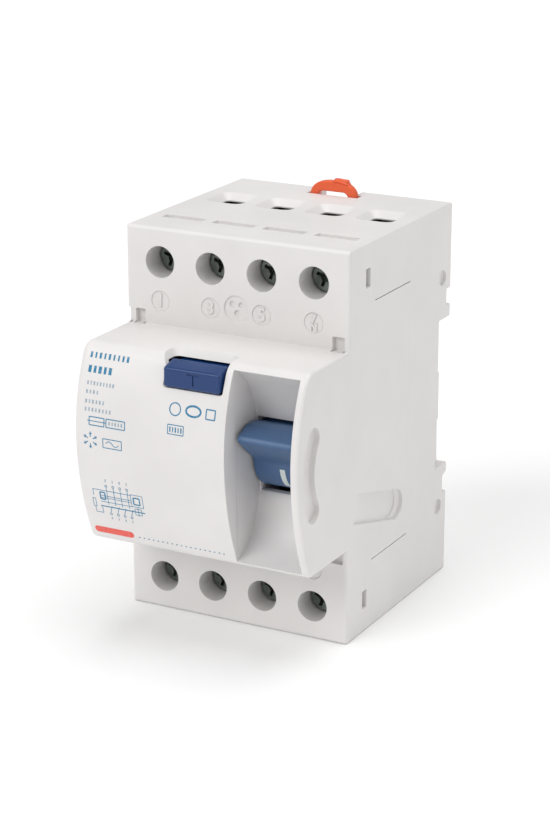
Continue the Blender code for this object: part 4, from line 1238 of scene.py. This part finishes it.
def draw_symbols(pen):
    """Plain symbols of the label: fuse, wave, star and blank marks."""
    pen.box((-23.0, -19.3), (49.6, 51.4), 0.2)
    pen.stroke((-23.5, 50.5), (-18.8, 50.5), 0.16)
    pen.box((-18.8, -14.2), (49.6, 51.4), 0.2)
    pen.box((-19.6, -15.0), (45.0, 47.0), 0.18)
    pen.path([(-18.9 + 3.2 * k / 16, 46.0 + 0.5 * math.sin(2 * math.pi * k / 16)) for k in range(17)], 0.16)
    hub = (-22.7, 46.2)
    for arm in range(6):
        turn = math.radians(60 * arm + 30)
        pen.stroke(spot(hub, 0.7, turn), spot(hub, 1.9, turn), 0.2)
        fork = spot(hub, 1.2, turn)
        for side in (-1, 1):
            pen.stroke(fork, spot(fork, 0.5, turn + side * 0.7), 0.16)
    pen.ring((-2.3, 55.9), 1.3, 0.24)
    pen.ring((2.05, 56.0), 1.75, 0.42, 0.62)
    pen.box((5.1, 7.2), (54.9, 56.9), 0.26)
    pen.box((-3.75, 0.0), (50.6, 52.6), 0.18)


def draw_circuit(pen, fine=0.13, bold=0.3):
    """Circuit of the device: four poles through a ring, its relay, and the test branch."""
    for x in (-19.8, -18.05, -16.35, -14.6):
        pen.ring((x, 35.9), 0.26, fine, sides=10)
        pen.stroke((x, 35.6), (x, 31.3), fine)
        pen.stroke((x + 0.75, 31.1), (x + 0.1, 29.4), fine)
        pen.ring((x + 0.1, 29.0), 0.26, fine, sides=10)
    for z in (34.7, 33.4, 32.9, 31.9):
        pen.stroke((-23.3 if z > 34 else -21.7, z), (-13.8, z), fine)
    pen.stroke((-21.9, 30.75), (-10.9, 30.75), 0.24)
    pen.stroke((-23.3, 34.7), (-23.3, 33.2), fine)
    pen.box((-23.7, -23.0), (30.4, 32.4), fine)
    pen.path([(-23.35, 30.4), (-23.35, 29.0), (-21.6, 29.0), (-21.6, 30.7)], fine)
    pen.box((-13.9, -11.0), (32.0, 34.9), fine)
    pen.box((-13.3, -11.8), (32.6, 34.2), bold)
    pen.box((-21.6, -20.4), (32.5, 34.2), bold)
    pen.box((-13.3, -11.7), (30.0, 31.5), fine)
    pen.stroke((-12.5, 29.7), (-12.5, 32.0), fine)


class BuildPrint(bpy.types.Operator):
    """Plain printing on the label: blank text rows, symbols, circuit and a dotted line"""
    bl_idname = "device.build_print"
    bl_label = "Printing"

    def execute(self, context):
        sizes = context.scene.device_print
        ink = printed_ink("label ink", tuple(sizes.ink))
        faint = printed_ink("faint ink", tuple(0.5 * channel + 0.30 for channel in sizes.ink))
        lift = sizes.thickness / MM

        def strokes(mesh):
            pen = Pen(mesh, lift)
            draw_symbols(pen)
            draw_circuit(pen)

        hand_over(make_piece("label_symbols", strokes), ink, "housing", "housing")
        recipe = row_recipe()
        rows = [
            ("row_title", ink, -24.2, 64.0, 9, 1.12, 0.55, 1.25, 0.35),
            ("row_rating", ink, -24.0, 61.2, 5, 1.25, 0.8, 1.5, 0.3),
            ("row_a", faint, -24.0, 58.4, 9, 0.78, 0.4, 0.8, 0.4),
            ("row_b", faint, -24.0, 56.6, 4, 0.85, 0.45, 0.8, 0.4),
            ("row_c", faint, -24.0, 54.6, 6, 0.85, 0.45, 0.8, 0.4),
            ("row_d", faint, -24.0, 52.9, 8, 0.86, 0.45, 0.8, 0.4),
            ("row_value", faint, -18.0, 50.5, 5, 0.75, 0.4, 0.75, 0.3),
            ("row_plate", ink, -3.2, 51.6, 5, 0.66, 0.34, 1.1, 0.4),
            ("row_poles", faint, -19.8, 37.2, 4, 1.75, 0.35, 0.7, 0.5),
            ("row_feet", faint, -19.7, 27.9, 4, 1.72, 0.35, 0.6, 0.5),
            ("row_dots", ink, -13.8, 24.0, 19, 1.155, 0.3, 0.3, 0.0),
        ]
        for name, material, x, z, count, step, wide, tall, uneven in rows:
            above, radius = nose_bow(z)
            piece = recipe.grow(
                name, material, Count=count, Step=step * MM, Length=wide * MM, Height=tall * MM,
                Ink=2 * sizes.thickness, Uneven=uneven, Seed=sizes.seed, Tilt=-math.atan(above / radius),
                Place=tuple(label_spot(x, z, 0.0)))
            hand_over(piece, None, "housing", "housing")

        def band(mesh):
            outline = round_box((-25.0, -15.2), (23.45, 25.05), 0.75)
            close_rings(mesh, [[mesh.verts.new(label_spot(x, z, raised)) for x, z in outline]
                               for raised in (lift, -SUNK)])

        band_ink = printed_ink("band ink", tuple(sizes.band))
        hand_over(make_piece("label_band", band), band_ink, "housing", "housing")
        return {"FINISHED"}


# ---- stage -----------------------------------------------------------------------------
SKY_STRENGTH = 0.45
STUDIO_LIGHTS = (
    ("key", (-0.32, -0.85, 0.72), 35.0, 1.25),
    ("top", (0.10, 0.15, 1.0), 50.0, 1.3),
    ("side", (0.9, -0.15, 0.45), 50.0, 0.3),
)


def add_sun(name, direction, spread, strength):
    """Even, soft light from one side, as wide as its spread in degrees."""
    data = bpy.data.lights.new(name, "SUN")
    data.energy = strength
    data.angle = math.radians(spread)
    add_object(name, data).rotation_euler = Vector(direction).to_track_quat("Z", "Y").to_euler()


class BuildStage(bpy.types.Operator):
    """Floor, soft studio light and camera"""
    bl_idname = "device.build_stage"
    bl_label = "Stage"

    def execute(self, context):
        sizes = context.scene.device_stage
        floor = make_piece("floor", lambda mesh: bmesh.ops.create_grid(
            mesh, x_segments=1, y_segments=1, size=3.0))
        paint(floor, pale_floor("floor paint", tuple(sizes.floor)))

        world = bpy.data.worlds.new("studio")
        world.use_nodes = True
        sky = world.node_tree.nodes["Background"].inputs
        sky["Color"].default_value = (1.0, 1.0, 1.0, 1.0)
        sky["Strength"].default_value = SKY_STRENGTH
        context.scene.world = world
        for light in STUDIO_LIGHTS:
            add_sun(*light)
        context.scene.view_settings.view_transform = "Standard"

        azimuth, elevation = math.radians(sizes.azimuth), math.radians(sizes.elevation)
        back = Vector((math.sin(azimuth) * math.cos(elevation), -math.cos(azimuth) * math.cos(elevation),
                       math.sin(elevation)))
        data = bpy.data.cameras.new("camera")
        data.lens = sizes.lens
        data.sensor_width = 36.0
        data.sensor_fit = "AUTO"
        data.clip_start, data.clip_end = 0.01, 20.0
        camera = add_object("camera", data)
        camera.location = Vector(sizes.target) + back * sizes.distance
        camera.rotation_euler = (-back).to_track_quat("-Z", "Y").to_euler()
        context.scene.camera = camera
        return {"FINISHED"}


OPERATORS = [BuildStage, BuildHousing, BuildLever, BuildButton, BuildTerminals, BuildClip, BuildInside,
             BuildPrint]


class DevicePanel(bpy.types.Panel):
    """Lists the pieces and their sizes"""
    bl_idname = "VIEW3D_PT_device"
    bl_label = "Residual current device"
    bl_space_type = "VIEW_3D"
    bl_region_type = "UI"
    bl_category = "Device"

    def draw(self, context):
        for operator in OPERATORS:
            self.layout.operator(operator.bl_idname)
        for name, group in GROUPS.items():
            box = self.layout.box()
            for key in group.__annotations__:
                box.prop(getattr(context.scene, name), key)


def register():
    for group in GROUPS.values():
        bpy.utils.register_class(group)
    for kind in (*OPERATORS, DevicePanel):
        bpy.utils.register_class(kind)
    for name, group in GROUPS.items():
        setattr(bpy.types.Scene, name, PointerProperty(type=group))


def unregister():
    for name in GROUPS:
        delattr(bpy.types.Scene, name)
    for kind in (DevicePanel, *reversed(OPERATORS), *reversed(GROUPS.values())):
        bpy.utils.unregister_class(kind)


def main():
    register()
    for operator in OPERATORS:
        group, name = operator.bl_idname.split(".")
        getattr(getattr(bpy.ops, group), name)()


if __name__ == "__main__":
    main()
